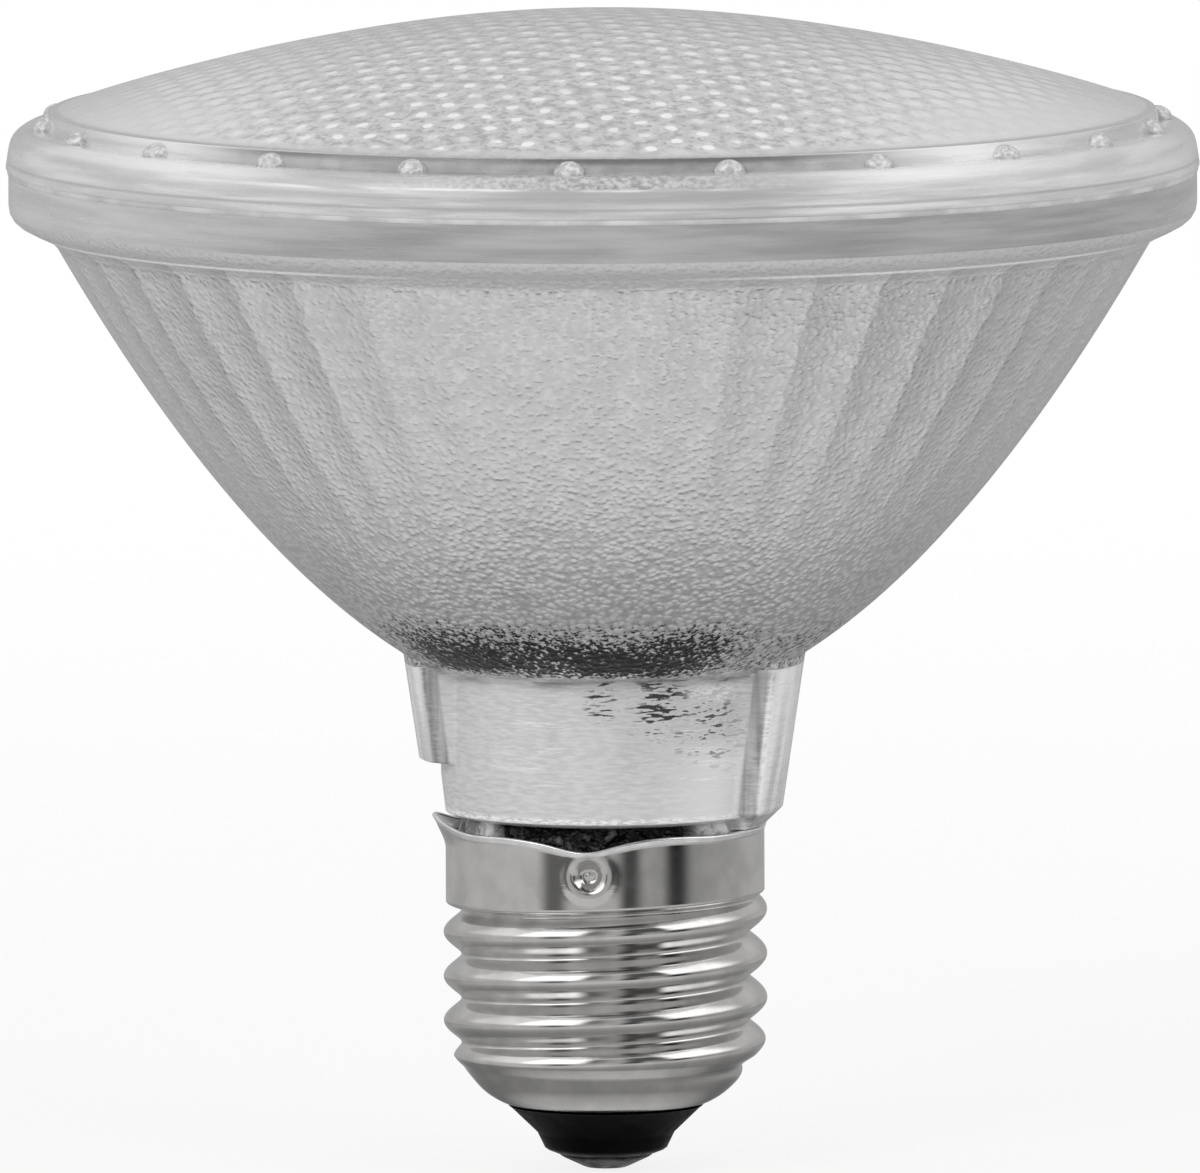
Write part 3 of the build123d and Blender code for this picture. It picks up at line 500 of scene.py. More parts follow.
neck_glass, tree, shader, place = finish("neck_glass")
shader.inputs["Metallic"].default_value = 0.45
shader.inputs["Coat Weight"].default_value = 0.45
shader.inputs["Coat Roughness"].default_value = 0.04
bearing, reach, level = about_axis(tree, place)
wall = span(tree, level, neck_foot * mm, 41.1 * mm, 13.0 * mm, 14.4 * mm, "LINEAR")
stands_out = reckon(tree, "SUBTRACT", reach, wall)
lug = span(tree, stands_out, 0.1 * mm, 0.9 * mm)
streak, grain = mottled(tree, place, 420, (1, 1, 0.05))
ripple, dash = mottled(tree, place, 210, (1, 1, 5))
folded = reckon(tree, "WRAP", bearing, pi / 2, -pi / 2)
# Painted dark reflections: dark wavy dashes on the neck's rippled glass, mostly on the upper front right and back
# left.
corner = times(tree, hump(tree, folded, 0.46, 0.34), span(tree, level, 34.5 * mm, 38.5 * mm))
outer = times(tree, hump(tree, folded, 0.8, 0.5), span(tree, level, 31.5 * mm, 37 * mm, 0.0, 0.5))
middle = times(tree, hump(tree, folded, 0.1, 0.2), span(tree, level, 36.8 * mm, 39.2 * mm, 0.0, 0.8))
patchy = reckon(tree, "MAXIMUM", reckon(tree, "MAXIMUM", corner, outer), middle)
patchy = times(tree, patchy, span(tree, ripple, 0.15, 0.65, 0.45, 1.0))
dark_dash_reflection = span(tree, reckon(tree, "MULTIPLY_ADD", patchy, 0.5, dash), 0.86, 1.0)
dark_dash_reflection = times(tree, dark_dash_reflection, span(tree, patchy, 0.0, 0.6, 0.0, 1.0))
# Painted shade: a darker band, blotched by the ripples, at the neck's top under the bowl.
brow_shade = times(tree, span(tree, level, 40.1 * mm, 41.2 * mm), span(tree, ripple, 0.25, 0.7))
shimmer = mottled(tree, place, 400, (1, 1, 4.5))["Grain"]
panel = blend(tree, dash, grey(0.63), grey(0.75))
# Painted reflection: a paler patch low on the neck's front right and back left.
paler_reflection = times(tree, hump(tree, folded, 0.85, 0.55), span(tree, level, 37 * mm, 34 * mm))
panel = blend(tree, paler_reflection, panel, grey(0.86))
# Painted highlight: a white glare near the neck's top on the front right and back left.
glare = times(tree, hump(tree, folded, 0.85, 0.34), hump(tree, level, 39.8 * mm, 1.2 * mm))
# Painted highlight: broken white dabs along the neck's bottom edge.
neck_edge_highlight = times(tree, hump(tree, level, 29.6 * mm, 0.4 * mm), span(tree, shimmer, 0.35, 0.7))
panel = blend(tree, neck_edge_highlight, panel, grey(1.0))
panel = blend(tree, reckon(tree, "MAXIMUM", dark_dash_reflection, times(tree, brow_shade, 0.55)), panel, grey(0.05))
panel = blend(tree, times(tree, glare, span(tree, dash, 0.2, 0.6)), panel, grey(1.0))
side = blend(tree, streak, grey(0.56), grey(1.0))
# Painted shade: darker streaks on the ramps where each lug rises from the neck.
foot = times(tree, span(tree, stands_out, 0.12 * mm, 0.4 * mm), span(tree, stands_out, 1.48 * mm, 1.2 * mm))
side = blend(tree, lug, panel, side)
side = blend(tree, times(tree, foot, 0.8), side, blend(tree, grain, grey(0.2), grey(0.46)))
put(tree, shader.inputs["Base Color"], side)
put(tree, shader.inputs["Roughness"], span(tree, lug, 0, 1, 0.42, 0.16))
relief = reckon(tree, "MULTIPLY_ADD", dash, reckon(tree, "MULTIPLY_ADD", corner, 0.5, 0.1), ripple)
bump(tree, shader, relief, 0.4, 0.0002)

mirror_film, tree, shader, place = finish("mirror_film")
shader.inputs["Metallic"].default_value = 1.0
streak = mottled(tree, place, 150, (1, 1, 5))["Shade"]
put(tree, shader.inputs["Base Color"], blend(tree, streak, grey(0.78), grey(0.86)))
put(tree, shader.inputs["Roughness"], span(tree, streak, 0, 1, 0.12, 0.06))
bump(tree, shader, streak, 0.3, 0.0003)
housing_glass = [neck_glass, pebbled_silver, mirror_film, rim_glass]
housing_mesh = skin("silvered_housing", housing_rows, housing_glass, zones, loop=True, corner=32)
stand("silvered_housing", housing_mesh, "silvered_glass", "reflector_housing")

# Cap cement: the ring of sealing cement that fills the collar round the neck's spigot.
# It was run in soft, so its top is lumpy and shiny. At the front it is painted near black as painted shadow deep in
# the gap, with a few painted glints on its lumps.
cement, tree, shader, place = finish("sealing_cement")
shader.inputs["Specular IOR Level"].default_value = 0.25
lump, grain = mottled(tree, place, 420)
# Painted shadow at the front, with painted glints on the lumps; the pale cement shows elsewhere.
lit = span(tree, reckon(tree, "COSINE", about_axis(tree, place)["Bearing"]), 0.8, 0.62)
shaded = blend(tree, span(tree, lump, 0.7, 1.0), grey(0.003), grey(0.1, 0.05))
put(tree, shader.inputs["Base Color"], blend(tree, lit, shaded, blend(tree, lump, grey(0.22), grey(0.9))))
put(tree, shader.inputs["Roughness"], span(tree, grain, 0, 1, 0.06, 0.3))
bump(tree, shader, lump, 1.0, 0.0008)
swell = 0.3 * np.sin(7 * turn) * np.sin(4 * turn + 1) + 0.25 * np.sin(13 * turn + 2)
foot_and_side = [(11.5, 24.3, 0), (12.5, 24.3, 0), (12.55, 25.5, 0), (12.5, 26.3, 0.5), (12.35, 26.9, 1.0)]
lumpy_top = [(12.1, 27.5, 1.2), (11.8, 28.3, 0.6), (11.6, 29.0, 0.2), (11.5, 29.2, 0)]
cement_profile = np.array(foot_and_side + lumpy_top)
cement_radius = cement_profile[:, :1] + 0 * turn
cement_height = cement_profile[:, 1:2] + cement_profile[:, 2:] * swell
for crimp_turn in crimp_turns:
    cement_radius = np.minimum(cement_radius, 12.5 - crimp_depth * near(turn, crimp_turn, 8))
cement_rows = np.stack([cement_radius * np.cos(turn), cement_radius * np.sin(turn), cement_height], axis=-1) * mm
stand("cement_ring", skin("cement_ring", cement_rows, [cement], loop=True), "cement", "cap_cement")

# Lens seal: the thin line of pale sealant that holds the lens on the housing's rim.
# It is squeezed out flush with both glasses, so the seam hardly shows.
sealant, tree, shader, place = finish("pale_sealant")
shade, grain = mottled(tree, place, 300)
put(tree, shader.inputs["Base Color"], blend(tree, shade, grey(0.42), grey(0.58)))
put(tree, shader.inputs["Roughness"], span(tree, grain, 0, 1, 0.3, 0.5))
bump(tree, shader, shade, 0.3, 0.0001)
seal_rows = turned_rows(
    [(44.9, 81.64), (48.2, 81.64), (48.41, 81.54), (48.47, 81.64), (48.5, 81.76), (48.5, 81.86), (48.49, 81.96),
     (48.2, 81.88), (44.9, 81.88)], 264)
stand("seal_line", skin("seal_line", seal_rows, [sealant], loop=True), "sealant", "lens_seal")

# Lens: one pressed glass dome on a flat rim, smooth outside, with rows of round lenslets pressed into its inside.
# A small step runs round the dome's foot, and the rim is sealed on the housing.
lens_radius = 131.62
lens_apex = 94.633
lens_wall = 3.4
inner_sphere = lens_radius - lens_wall
inner_edge = 44.83
columns = 264


def dome(radius, sphere):
    """Height of the lens's outer or inner sphere at a radius."""
    dip = 0.1 + 0.28 * smooth(radius, 4, 28) - 0.2 * smooth(radius, 32, 45)
    return lens_apex - lens_radius + np.sqrt(sphere**2 - radius**2) - dip


outside = [(r, float(dome(r, lens_radius))) for r in np.linspace(0, 44.75, 40)]
dome_strips = len(outside)
outside += [(45.0, 86.66), (45.1, 86.55), (45.3, 85.6), (45.42, 85.42), (45.7, 85.383), (46.9, 85.383)]
outside += [(47.12, 85.32), (47.4, 85.16), (47.75, 84.9), (48.02, 84.62), (48.2, 84.3), (48.34, 83.85), (48.46, 83.2)]
outside += [(48.56, 82.5), (48.6, 82.3), (48.6, 82.1), (48.45, 81.9), (48.3, 81.883), (44.95, 81.883), (44.83, 81.95)]
outside += [(inner_edge, float(dome(inner_edge, inner_sphere)))]
lens_rows = turned_rows(outside, columns)


def lenslet_rise(tree, place, pitch, turn):
    """One at the middle of each lenslet of a staggered lattice, and none at its edge."""
    turned = tree.nodes.new("ShaderNodeVectorRotate")
    turned.rotation_type = "Z_AXIS"
    put(tree, turned.inputs["Vector"], place)
    put(tree, turned.inputs["Angle"], turn)
    split = tree.nodes.new("ShaderNodeSeparateXYZ")
    put(tree, split.inputs[0], turned.outputs[0])
    squares = []
    for offset in (0.0, 0.5):
        parts = []
        for value, step in ((split.outputs["X"], pitch), (split.outputs["Y"], times(tree, pitch, sqrt(3)))):
            moved = reckon(tree, "SUBTRACT", value, times(tree, step, offset))
            nearest = times(tree, reckon(tree, "ROUND", reckon(tree, "DIVIDE", moved, step)), step)
            away = reckon(tree, "SUBTRACT", moved, nearest)
            parts.append(times(tree, away, away))
        squares.append(reckon(tree, "ADD", *parts))
    radius = times(tree, pitch, 0.5)
    share = reckon(tree, "DIVIDE", reckon(tree, "MINIMUM", *squares), times(tree, radius, radius))
    return reckon(tree, "SUBTRACT", 1.0, share)


lenslet_pitch = 2.75 * mm
lenslet_depth = 0.4 * mm
lattice_turn = radians(15)
stipple_radius = 43.8 * mm
stipple_fade = 0.8 * mm
glint_swerve = 0.85 * mm

dome_glass, tree, shader, place = finish("dome_glass")
shader.inputs["Transmission Weight"].default_value = 0.15
shader.inputs["IOR"].default_value = glass_ior
shader.inputs["Coat Weight"].default_value = 0.5
shader.inputs["Coat Roughness"].default_value = 0.06
bearing, reach, _ = about_axis(tree, place)
within = span(tree, reach, stipple_radius - stipple_fade, stipple_radius, 1.0, 0.0)
cloud, grain = mottled(tree, place, 260)
unrest = tree.nodes.new("ShaderNodeTexNoise")
unrest.inputs["Scale"].default_value = 620
put(tree, unrest.inputs["Vector"], place)
swerve = tree.nodes.new("ShaderNodeVectorMath")
swerve.operation = "MULTIPLY_ADD"
put(tree, swerve.inputs[0], unrest.outputs["Color"])
swerve.inputs[1].default_value = (glint_swerve, glint_swerve, 0)
put(tree, swerve.inputs[2], place)
rise = lenslet_rise(tree, swerve.outputs[0], lenslet_pitch, lattice_turn)
aside = reckon(tree, "ABSOLUTE", reckon(tree, "SINE", bearing))
nearer = times(tree, reach, reckon(tree, "COSINE", bearing))
sideways = times(tree, reach, aside)
margin = times(tree, span(tree, reach, 35 * mm, 41 * mm), span(tree, aside, 0.55, 0.9, 0.0, 0.85))
clear = times(tree, within, reckon(tree, "SUBTRACT", 1.0, margin))
# Painted highlights on the lenslets: crisp white dots toward the front, and soft pale ovals elsewhere.
to_front = span(tree, nearer, -30 * mm, 26 * mm, 0.2, 1.0)
crisp = times(tree, to_front, span(tree, sideways, 40 * mm, 12 * mm, 0.2, 1.0))
oval = times(tree, span(tree, rise, 0.15, 0.95), span(tree, nearer, -30 * mm, 15 * mm, 0.4, 0.75))
highlight_dot = times(tree, span(tree, rise, 0.81, 0.93), crisp, span(tree, cloud, 0.1, 0.6, 0.55, 1.0))
oval = times(tree, oval, span(tree, crisp, 0, 1, 1.0, 0.3))
glint = times(tree, reckon(tree, "MAXIMUM", oval, highlight_dot), clear)
unevenness = reckon(tree, "MULTIPLY_ADD", cloud, 0.4, times(tree, grain, 0.6))
ground = blend(tree, unevenness, grey(0.5), grey(0.7))
# Painted light: the dome's ground is paler toward the sides.
ground = blend(tree, span(tree, sideways, 14 * mm, 34 * mm, 0.0, 0.65), ground, grey(0.82))
# Painted shade: dark specks of sparkle among the lenslets toward the front.
sparkle_noise = mottled(tree, place, 360)["Grain"]
dark_sparkle = times(tree, span(tree, sparkle_noise, 0.4, 0.9), crisp, clear)
ground = blend(tree, dark_sparkle, ground, grey(0.4))
# Painted shade: a darker edge round the dome's foot toward the sides.
brim_shade = times(tree, span(tree, reach, 44.1 * mm, 44.4 * mm), span(tree, aside, 0.35, 0.6, 0.0, 0.45))
ground = blend(tree, brim_shade, ground, grey(0.3))
put(tree, shader.inputs["Base Color"], blend(tree, glint, ground, grey(1.0)))
put(tree, shader.inputs["Roughness"], span(tree, cloud, 0, 1, 0.26, 0.16))
bump(tree, shader, times(tree, span(tree, rise, 0.05, 1.0), clear), 0.22, 0.0004)

stipple_glass, tree, shader, place = finish("stipple_glass")
shader.inputs["Transmission Weight"].default_value = 1.0
shader.inputs["IOR"].default_value = glass_ior
cloud, grain = mottled(tree, place, 200)
put(tree, shader.inputs["Base Color"], blend(tree, cloud, grey(0.93), grey(0.98)))
put(tree, shader.inputs["Roughness"], span(tree, grain, 0, 1, 0.08, 0.2))
bump(tree, shader, grain, 0.2, 0.00003)

lens_zones = np.zeros(len(outside) - 1, int)
lens_zones[:dome_strips] = 1
lens_body = skin("lens_body", lens_rows, [rim_glass, dome_glass], lens_zones)

lattice_step = 0.475
grid_x, grid_y = np.meshgrid(np.arange(-100, 101), np.arange(-116, 117))
staggered = (grid_x + 0.5 * (grid_y % 2)) * lattice_step
lattice = np.stack([staggered, grid_y * lattice_step * sqrt(3) / 2], axis=-1).reshape(-1, 2)
lattice = lattice[np.hypot(lattice[:, 0], lattice[:, 1]) < inner_edge - 0.35]
edge_turn = np.linspace(0, 2 * pi, columns, endpoint=False)
edge = np.stack([inner_edge * np.cos(edge_turn), inner_edge * np.sin(edge_turn)], axis=-1)
flat = np.concatenate([lattice, edge])
spots, _, triangles, _, _, _ = delaunay_2d_cdt([Vector(p) for p in flat.tolist()], [], [], 0, 1e-6)
spots = np.array([tuple(p) for p in spots])
spot_height = dome(np.minimum(np.hypot(spots[:, 0], spots[:, 1]), inner_edge), inner_sphere)
stipple_mesh = bpy.data.meshes.new("lens_inside")
stipple_mesh.from_pydata((np.column_stack([spots, spot_height]) * mm).tolist(), [], [list(t) for t in triangles])
stipple_piece = bpy.data.objects.new("lens_inside", stipple_mesh)
bpy.context.scene.collection.objects.link(stipple_piece)


def rule(name, **inputs):
    """A new geometry tree with its named inputs, ready for nodes between its two ends."""
    tree = bpy.data.node_groups.new(name, "GeometryNodeTree")
    tree.interface.new_socket("Geometry", in_out="INPUT", socket_type="NodeSocketGeometry")
    for label, kind in inputs.items():
        tree.interface.new_socket(label.replace("_", " "), in_out="INPUT", socket_type=kind)
    tree.interface.new_socket("Geometry", in_out="OUTPUT", socket_type="NodeSocketGeometry")
    return tree, tree.nodes.new("NodeGroupInput").outputs, tree.nodes.new("NodeGroupOutput").inputs


def grow(piece, tree, **values):
    """Runs a geometry tree on a piece and gives back the result as a plain mesh."""
    modifier = piece.modifiers.new(tree.name, "NODES")
    modifier.node_group = tree
    for item in tree.interface.items_tree:
        label = item.name.replace(" ", "_")
        if item.in_out == "INPUT" and label in values:
            modifier[item.identifier] = values[label]
    evaluated = piece.evaluated_get(bpy.context.evaluated_depsgraph_get())
    mesh = bpy.data.meshes.new_from_object(evaluated)
    piece.modifiers.remove(modifier)
    return mesh


tree, given, result = rule(
    "lens_stipple", Lenslet_pitch="NodeSocketFloat", Lenslet_depth="NodeSocketFloat", Lattice_turn="NodeSocketFloat",
    Stipple_radius="NodeSocketFloat", Glass="NodeSocketMaterial")
point = tree.nodes.new("GeometryNodeInputPosition").outputs[0]
split = tree.nodes.new("ShaderNodeSeparateXYZ")
put(tree, split.inputs[0], point)
squares = [times(tree, split.outputs[label], split.outputs[label]) for label in ("X", "Y")]
from_axis = reckon(tree, "SQRT", reckon(tree, "ADD", *squares))
edge = given["Stipple radius"]
within = span(tree, from_axis, reckon(tree, "SUBTRACT", edge, stipple_fade), edge, 1.0, 0.0)
rise = reckon(tree, "MAXIMUM", lenslet_rise(tree, point, given["Lenslet pitch"], given["Lattice turn"]), 0.0)
drop = times(tree, rise, within, given["Lenslet depth"])
down = tree.nodes.new("ShaderNodeCombineXYZ")
put(tree, down.inputs["Z"], times(tree, drop, -1.0))
pressed = tree.nodes.new("GeometryNodeSetPosition")
put(tree, pressed.inputs["Geometry"], given["Geometry"])
put(tree, pressed.inputs["Offset"], down.outputs[0])
realized = tree.nodes.new("GeometryNodeRealizeInstances")
put(tree, realized.inputs["Geometry"], pressed.outputs[0])
coated = tree.nodes.new("GeometryNodeSetMaterial")
put(tree, coated.inputs["Geometry"], realized.outputs[0])
put(tree, coated.inputs["Material"], given["Glass"])
put(tree, result["Geometry"], coated.outputs[0])
stippled = grow(
    stipple_piece, tree, Lenslet_pitch=lenslet_pitch, Lenslet_depth=lenslet_depth, Lattice_turn=lattice_turn,
    Stipple_radius=stipple_radius, Glass=stipple_glass)
bpy.data.objects.remove(stipple_piece)
for face in stippled.polygons:
    face.material_index = 2
whole = bmesh.new()
whole.from_mesh(lens_body)
whole.from_mesh(stippled)
bmesh.ops.remove_doubles(whole, verts=whole.verts, dist=2e-6)
bmesh.ops.recalc_face_normals(whole, faces=whole.faces)
lens_mesh = bpy.data.meshes.new("stippled_lens")
whole.to_mesh(lens_mesh)
whole.free()
for material in (rim_glass, dome_glass, stipple_glass):
    lens_mesh.materials.append(material)
lens_mesh.shade_smooth()
lens_mesh.set_sharp_from_angle(angle=radians(48))
stand("stippled_lens", lens_mesh, "clear_glass", "lens")

# Lens nubs: small round glass beads pressed out of the step all round the dome's foot.
# They are part of the lens's glass and stand a little proud of its ledge.
nub_glass, tree, shader, place = finish("nub_glass")
shader.inputs["Transmission Weight"].default_value = 0.25
shader.inputs["IOR"].default_value = glass_ior
shader.inputs["Coat Weight"].default_value = 1.0
shader.inputs["Coat Roughness"].default_value = 0.05
cloud, grain = mottled(tree, place, 600)
put(tree, shader.inputs["Base Color"], blend(tree, grain, grey(0.48), grey(0.86)))
put(tree, shader.inputs["Roughness"], span(tree, cloud, 0, 1, 0.35, 0.18))
bump(tree, shader, grain, 0.5, 0.00015)
tree, given, result = rule(
    "lens_nubs", Nub_count="NodeSocketInt", Circle_radius="NodeSocketFloat", Nub_radius="NodeSocketFloat",
    Nub_height="NodeSocketFloat", Nub_flatness="NodeSocketFloat", First_turn="NodeSocketFloat",
    Glass="NodeSocketMaterial")
ring = tree.nodes.new("GeometryNodeMeshCircle")
put(tree, ring.inputs["Vertices"], given["Nub count"])
put(tree, ring.inputs["Radius"], given["Circle radius"])
bead = tree.nodes.new("GeometryNodeMeshUVSphere")
bead.inputs["Segments"].default_value = 20
bead.inputs["Rings"].default_value = 12
put(tree, bead.inputs["Radius"], given["Nub radius"])
round_beads = tree.nodes.new("GeometryNodeSetShadeSmooth")
put(tree, round_beads.inputs["Geometry"], bead.outputs["Mesh"])
strung = tree.nodes.new("GeometryNodeInstanceOnPoints")
put(tree, strung.inputs["Points"], ring.outputs["Mesh"])
put(tree, strung.inputs["Instance"], round_beads.outputs[0])
realized = tree.nodes.new("GeometryNodeRealizeInstances")
put(tree, realized.inputs["Geometry"], strung.outputs[0])
lifted = tree.nodes.new("GeometryNodeTransform")
put(tree, lifted.inputs["Geometry"], realized.outputs[0])
rise = tree.nodes.new("ShaderNodeCombineXYZ")
put(tree, rise.inputs["Z"], given["Nub height"])
put(tree, lifted.inputs["Translation"], rise.outputs[0])
flatten = tree.nodes.new("ShaderNodeCombineXYZ")
flatten.inputs["X"].default_value = 1.0
flatten.inputs["Y"].default_value = 1.0
put(tree, flatten.inputs["Z"], given["Nub flatness"])
put(tree, lifted.inputs["Scale"], flatten.outputs[0])
swing = tree.nodes.new("ShaderNodeCombineXYZ")
put(tree, swing.inputs["Z"], given["First turn"])
put(tree, lifted.inputs["Rotation"], swing.outputs[0])
coated = tree.nodes.new("GeometryNodeSetMaterial")
put(tree, coated.inputs["Geometry"], lifted.outputs[0])
put(tree, coated.inputs["Material"], given["Glass"])
put(tree, result["Geometry"], coated.outputs[0])
nub_piece = bpy.data.objects.new("nub_start", bpy.data.meshes.new("nub_start"))
bpy.context.scene.collection.objects.link(nub_piece)
nub_mesh = grow(
    nub_piece, tree, Nub_count=22, Circle_radius=45.3 * mm, Nub_radius=1.3 * mm, Nub_height=85.42 * mm,
    Nub_flatness=0.82, First_turn=radians(2.6 - 90), Glass=nub_glass)
bpy.data.objects.remove(nub_piece)
nubs = bpy.data.objects.new("lens_nubs", nub_mesh)
bpy.context.scene.collection.objects.link(nubs)
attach(nubs, "root")


# Inner pieces: the dish, the LED board with its LEDs and screws, and the driver with its wires in the neck.
# They keep their CAD shapes, sealed under the lens, and each gets the finish of its own stuff here.
def dress(node, dark, light, low, high, scale, metallic=0.0, relief=0.00004):
    """A mottled finish on a CAD node: colours and roughness between two values, with fine relief."""
    material, tree, shader, place = finish(node + "_finish")
    shader.inputs["Metallic"].default_value = metallic
    cloud, grain = mottled(tree, place, scale)
    put(tree, shader.inputs["Base Color"], blend(tree, cloud, (*dark, 1.0), (*light, 1.0)))
    put(tree, shader.inputs["Roughness"], span(tree, cloud, 0, 1, low, high))
    bump(tree, shader, grain, 0.3, relief)
    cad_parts[node].data.materials.clear()
    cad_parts[node].data.materials.append(material)


dress("heat_spreader", (0.66, 0.67, 0.68), (0.78, 0.79, 0.8), 0.28, 0.42, 260, 1.0)
dress("led_board", (0.78, 0.78, 0.76), (0.86, 0.86, 0.84), 0.3, 0.45, 300)
dress("led_packages", (0.82, 0.81, 0.78), (0.88, 0.87, 0.84), 0.4, 0.55, 900)
dress("led_phosphors", (0.80, 0.70, 0.34), (0.88, 0.78, 0.42), 0.25, 0.4, 1200)
dress("board_screws", (0.5, 0.5, 0.51), (0.64, 0.64, 0.65), 0.25, 0.4, 900, 1.0)
dress("driver_sleeve", (0.78, 0.78, 0.76), (0.86, 0.86, 0.84), 0.4, 0.55, 300)
dress("driver_board", (0.05, 0.22, 0.09), (0.08, 0.3, 0.13), 0.3, 0.45, 500)
dress("inductor_core", (0.06, 0.06, 0.06), (0.13, 0.13, 0.13), 0.5, 0.7, 900)
dress("inductor_winding", (0.56, 0.26, 0.12), (0.74, 0.38, 0.19), 0.25, 0.4, 1500, 1.0)
dress("bulk_capacitor", (0.02, 0.025, 0.04), (0.04, 0.05, 0.08), 0.25, 0.4, 600)
dress("film_capacitor", (0.5, 0.16, 0.04), (0.66, 0.24, 0.07), 0.3, 0.45, 700)
dress("bridge_rectifier", (0.015, 0.015, 0.015), (0.035, 0.035, 0.035), 0.45, 0.6, 1200)
dress("driver_chip", (0.015, 0.015, 0.015), (0.035, 0.035, 0.035), 0.45, 0.6, 1200)
dress("fuse_resistor", (0.2, 0.36, 0.24), (0.3, 0.46, 0.32), 0.35, 0.5, 1200)
dress("live_wire", (0.012, 0.012, 0.012), (0.03, 0.03, 0.03), 0.4, 0.5, 1500)
dress("neutral_wire", (0.74, 0.74, 0.72), (0.84, 0.84, 0.82), 0.4, 0.5, 1500)
dress("neutral_solder", (0.5, 0.5, 0.51), (0.66, 0.66, 0.68), 0.2, 0.35, 1500, 1.0)
dress("led_wire_positive", (0.42, 0.02, 0.02), (0.56, 0.04, 0.04), 0.4, 0.5, 1500)
dress("led_wire_negative", (0.012, 0.012, 0.012), (0.03, 0.03, 0.03), 0.4, 0.5, 1500)

# Floor: a plain white studio table under the bulb, which carries only a soft shadow.
# The camera sees it as plain white ground, in reflections it glows in soft greys of painted light and shadow, and
# from below it is clear.
floor_mesh = bpy.data.meshes.new("studio_floor")
floor_height = -0.0002
floor_corners = ((-3, -3), (3, -3), (3, 3), (-3, 3))
floor_mesh.from_pydata([(*corner, floor_height) for corner in floor_corners], [], [(0, 1, 2, 3)])
floor = bpy.data.objects.new("studio_floor", floor_mesh)
bpy.context.scene.collection.objects.link(floor)
floor_white, tree, shader, place = finish("floor_white")
bearing, reach, _ = about_axis(tree, place)
cloud = mottled(tree, place, 3)["Shade"]
put(tree, shader.inputs["Base Color"], blend(tree, cloud, grey(0.80), grey(0.82)))
shader.inputs["Roughness"].default_value = 0.8
shader.inputs["Specular IOR Level"].default_value = 0.1
light_path = tree.nodes.new("ShaderNodeLightPath")


def shine(tree, strength):
    """Plain white light of some strength."""
    glow = tree.nodes.new("ShaderNodeEmission")
    put(tree, glow.inputs["Strength"], strength)
    return glow.outputs[0]


def either(tree, share, first, second):
    """A shader between two others."""
    mix = tree.nodes.new("ShaderNodeMixShader")
    for socket, value in zip(mix.inputs, (share, first, second)):
        put(tree, socket, value)
    return mix.outputs[0]


seen = reckon(tree, "MAXIMUM", light_path.outputs["Is Camera Ray"], light_path.outputs["Is Transmission Ray"])
whiteness = times(tree, seen, span(tree, reach, 0.05, 0.6, 0.84, 1.0))
table = either(tree, whiteness, shader.outputs[0], shine(tree, 1.0))
# Painted light in the floor's reflections: a painted shadow darker round the bulb's foot, a painted pool of light
# right under the cap, and more light toward the front.
under_cap = span(tree, reach, 0.004, 0.022, 0.56, 0.0)
underglow = reckon(tree, "MAXIMUM", span(tree, reach, 0.013, 0.047, 0.27, 0.61), under_cap)
to_front = span(tree, reckon(tree, "COSINE", bearing), -1.0, 1.0, 0.58, 1.05)
mirrored = shine(tree, times(tree, underglow, to_front))
open_air = tree.nodes.new("ShaderNodeBsdfTransparent").outputs[0]
mirrored = either(tree, span(tree, reach, 0.11, 0.17), mirrored, open_air)
whole_floor = either(tree, light_path.outputs["Is Glossy Ray"], table, mirrored)
below = tree.nodes.new("ShaderNodeNewGeometry").outputs["Backfacing"]
put(tree, tree.nodes["Material Output"].inputs["Surface"], either(tree, below, whole_floor, open_air))
floor_mesh.materials.append(floor_white)

# Studio light: a white room with soft boxes above and in front, and dark gaps between its walls in reflections.
# The camera and rays through glass see plain white behind the bulb.
world = bpy.data.worlds.new("studio")
bpy.context.scene.world = world
world.use_nodes = True
tree = world.node_tree
bearing, _, level = about_axis(tree, tree.nodes.new("ShaderNodeTexCoord").outputs["Generated"])


def round_room(tree, bearing, stops):
    """Brightness round the room, from stops of bearing in degrees and strength."""
    ramp = tree.nodes.new("ShaderNodeValToRGB")
    put(tree, ramp.inputs["Fac"], span(tree, bearing, -pi, pi, kind="LINEAR"))
    ramp.color_ramp.interpolation = "EASE"
    elements = ramp.color_ramp.elements
    while len(elements) < len(stops):
        elements.new(0.5)
    for element, (degrees, brightness) in zip(elements, stops):
        element.position = (degrees + 180) / 360
        element.color = grey(brightness)
    return ramp.outputs["Color"]


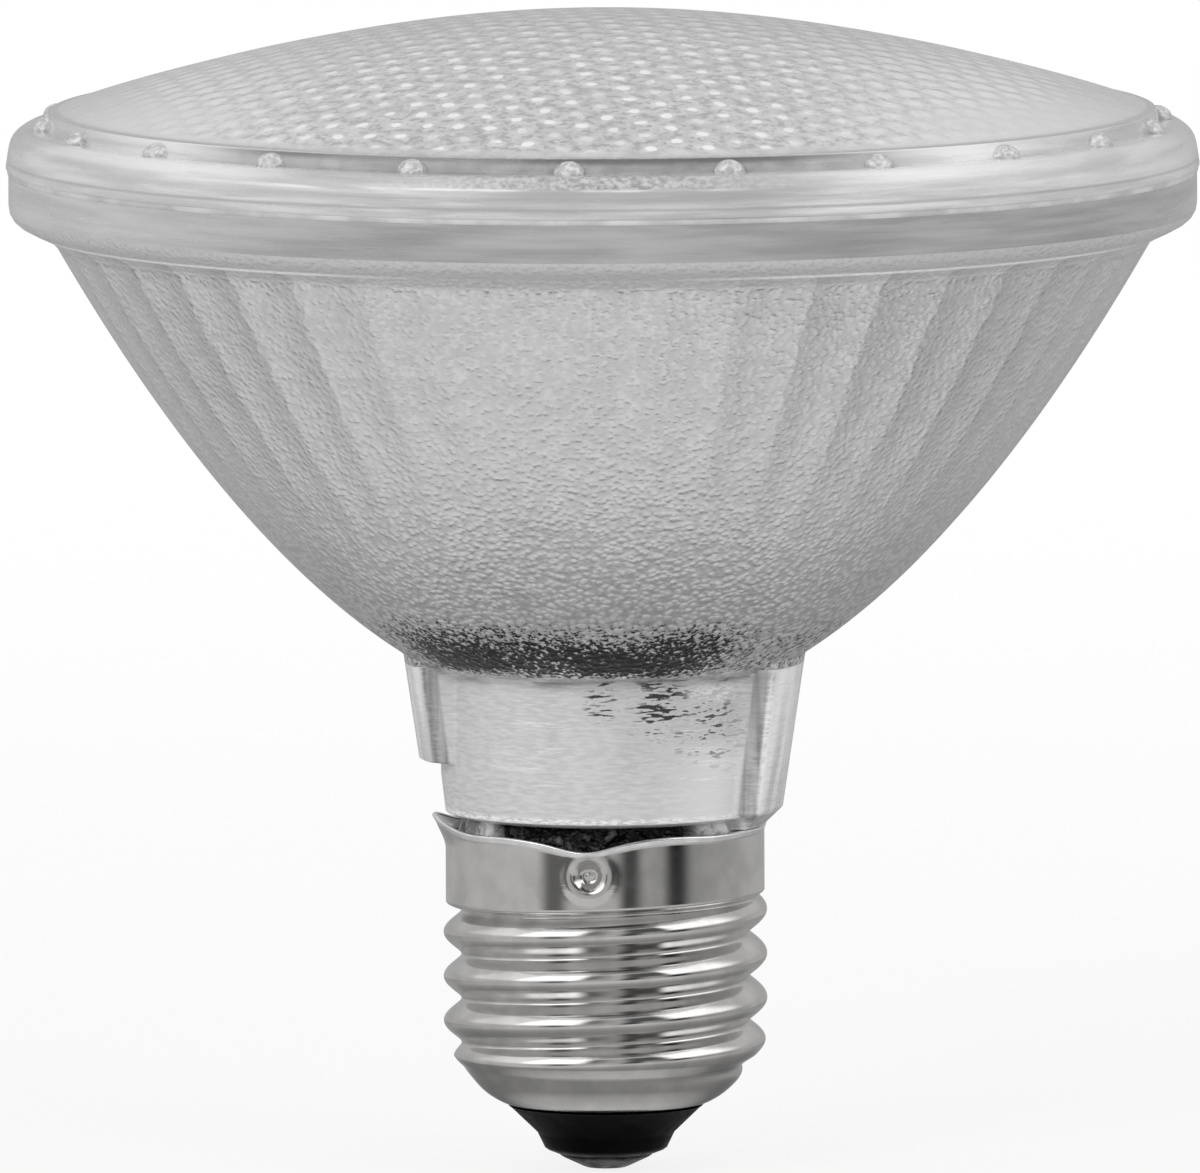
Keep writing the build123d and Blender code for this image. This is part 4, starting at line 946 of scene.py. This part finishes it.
walls = round_room(tree, bearing, (
    (-180, 0.42), (-130, 0.5), (-90, 0.58), (-46, 0.58), (-34, 0.14), (-29, 0.14), (-18, 0.5), (12, 0.5), (22, 0.07),
    (26, 0.07), (36, 0.4), (46, 0.36), (57, 0.02), (62, 0.02), (74, 0.36), (100, 0.42), (140, 0.5), (180, 0.42)))
boxes = round_room(tree, bearing, (
    (-180, 0.6), (-125, 0.6), (-105, 0.9), (-70, 1.0), (-58, 1.9), (-22, 1.9), (-8, 0.2), (14, 0.5), (26, 0.1),
    (48, 0.1), (58, 1.7), (100, 1.5), (130, 0.6), (180, 0.6)))
room = blend(tree, span(tree, level, 0.12, 0.45), walls, boxes)
room = blend(tree, span(tree, level, 0.75, 0.95), room, grey(1.0))
light_path = tree.nodes.new("ShaderNodeLightPath")
seen = reckon(tree, "MAXIMUM", light_path.outputs["Is Camera Ray"], light_path.outputs["Is Transmission Ray"])
room = blend(tree, light_path.outputs["Is Diffuse Ray"], room, grey(0.7))
put(tree, tree.nodes["Background"].inputs["Color"], blend(tree, seen, room, grey(1.0)))


def soft_box(name, place, aim, size, watts):
    """A square area lamp pointed at the bulb."""
    lamp = bpy.data.lights.new(name, "AREA")
    lamp.shape = "SQUARE"
    lamp.size = size
    lamp.energy = watts
    holder = bpy.data.objects.new(name, lamp)
    holder.location = place
    holder.rotation_euler = (Vector(aim) - Vector(place)).to_track_quat("-Z", "Y").to_euler()
    holder.visible_glossy = False
    bpy.context.scene.collection.objects.link(holder)


bulb_middle = (0, 0, 0.05)
soft_box("key_soft_box", (-0.45, -0.9, 0.55), bulb_middle, 0.35, 4.0)
soft_box("fill_soft_box", (0.7, -0.6, 0.45), bulb_middle, 0.3, 2.0)

# Camera: a long lens a little above the bulb's middle, turned as in the photo.
# The frame is 1200 by 1173 pixels, with the lens's rim just inside both edges.
camera_turn = radians(6)
camera_rise = radians(5.7)
camera_reach = 3.6
camera_roll = radians(0.2)
sensor_width = 36
frame_width = 0.0978
aim = Vector((-0.00034, 0, 0.04758))
camera = bpy.data.cameras.new("photo_camera")
camera.sensor_fit = "HORIZONTAL"
camera.sensor_width = sensor_width
camera.lens = sensor_width * camera_reach / frame_width
holder = bpy.data.objects.new("photo_camera", camera)
holder.location = aim + camera_reach * Vector(
    (sin(camera_turn) * cos(camera_rise), -cos(camera_turn) * cos(camera_rise), sin(camera_rise)))
level_look = (aim - holder.location).to_track_quat("-Z", "Y")
holder.rotation_euler = (level_look @ Quaternion((0, 0, 1), -camera_roll)).to_euler()
bpy.context.scene.collection.objects.link(holder)
bpy.context.scene.camera = holder
bpy.context.scene.view_settings.view_transform = "Standard"
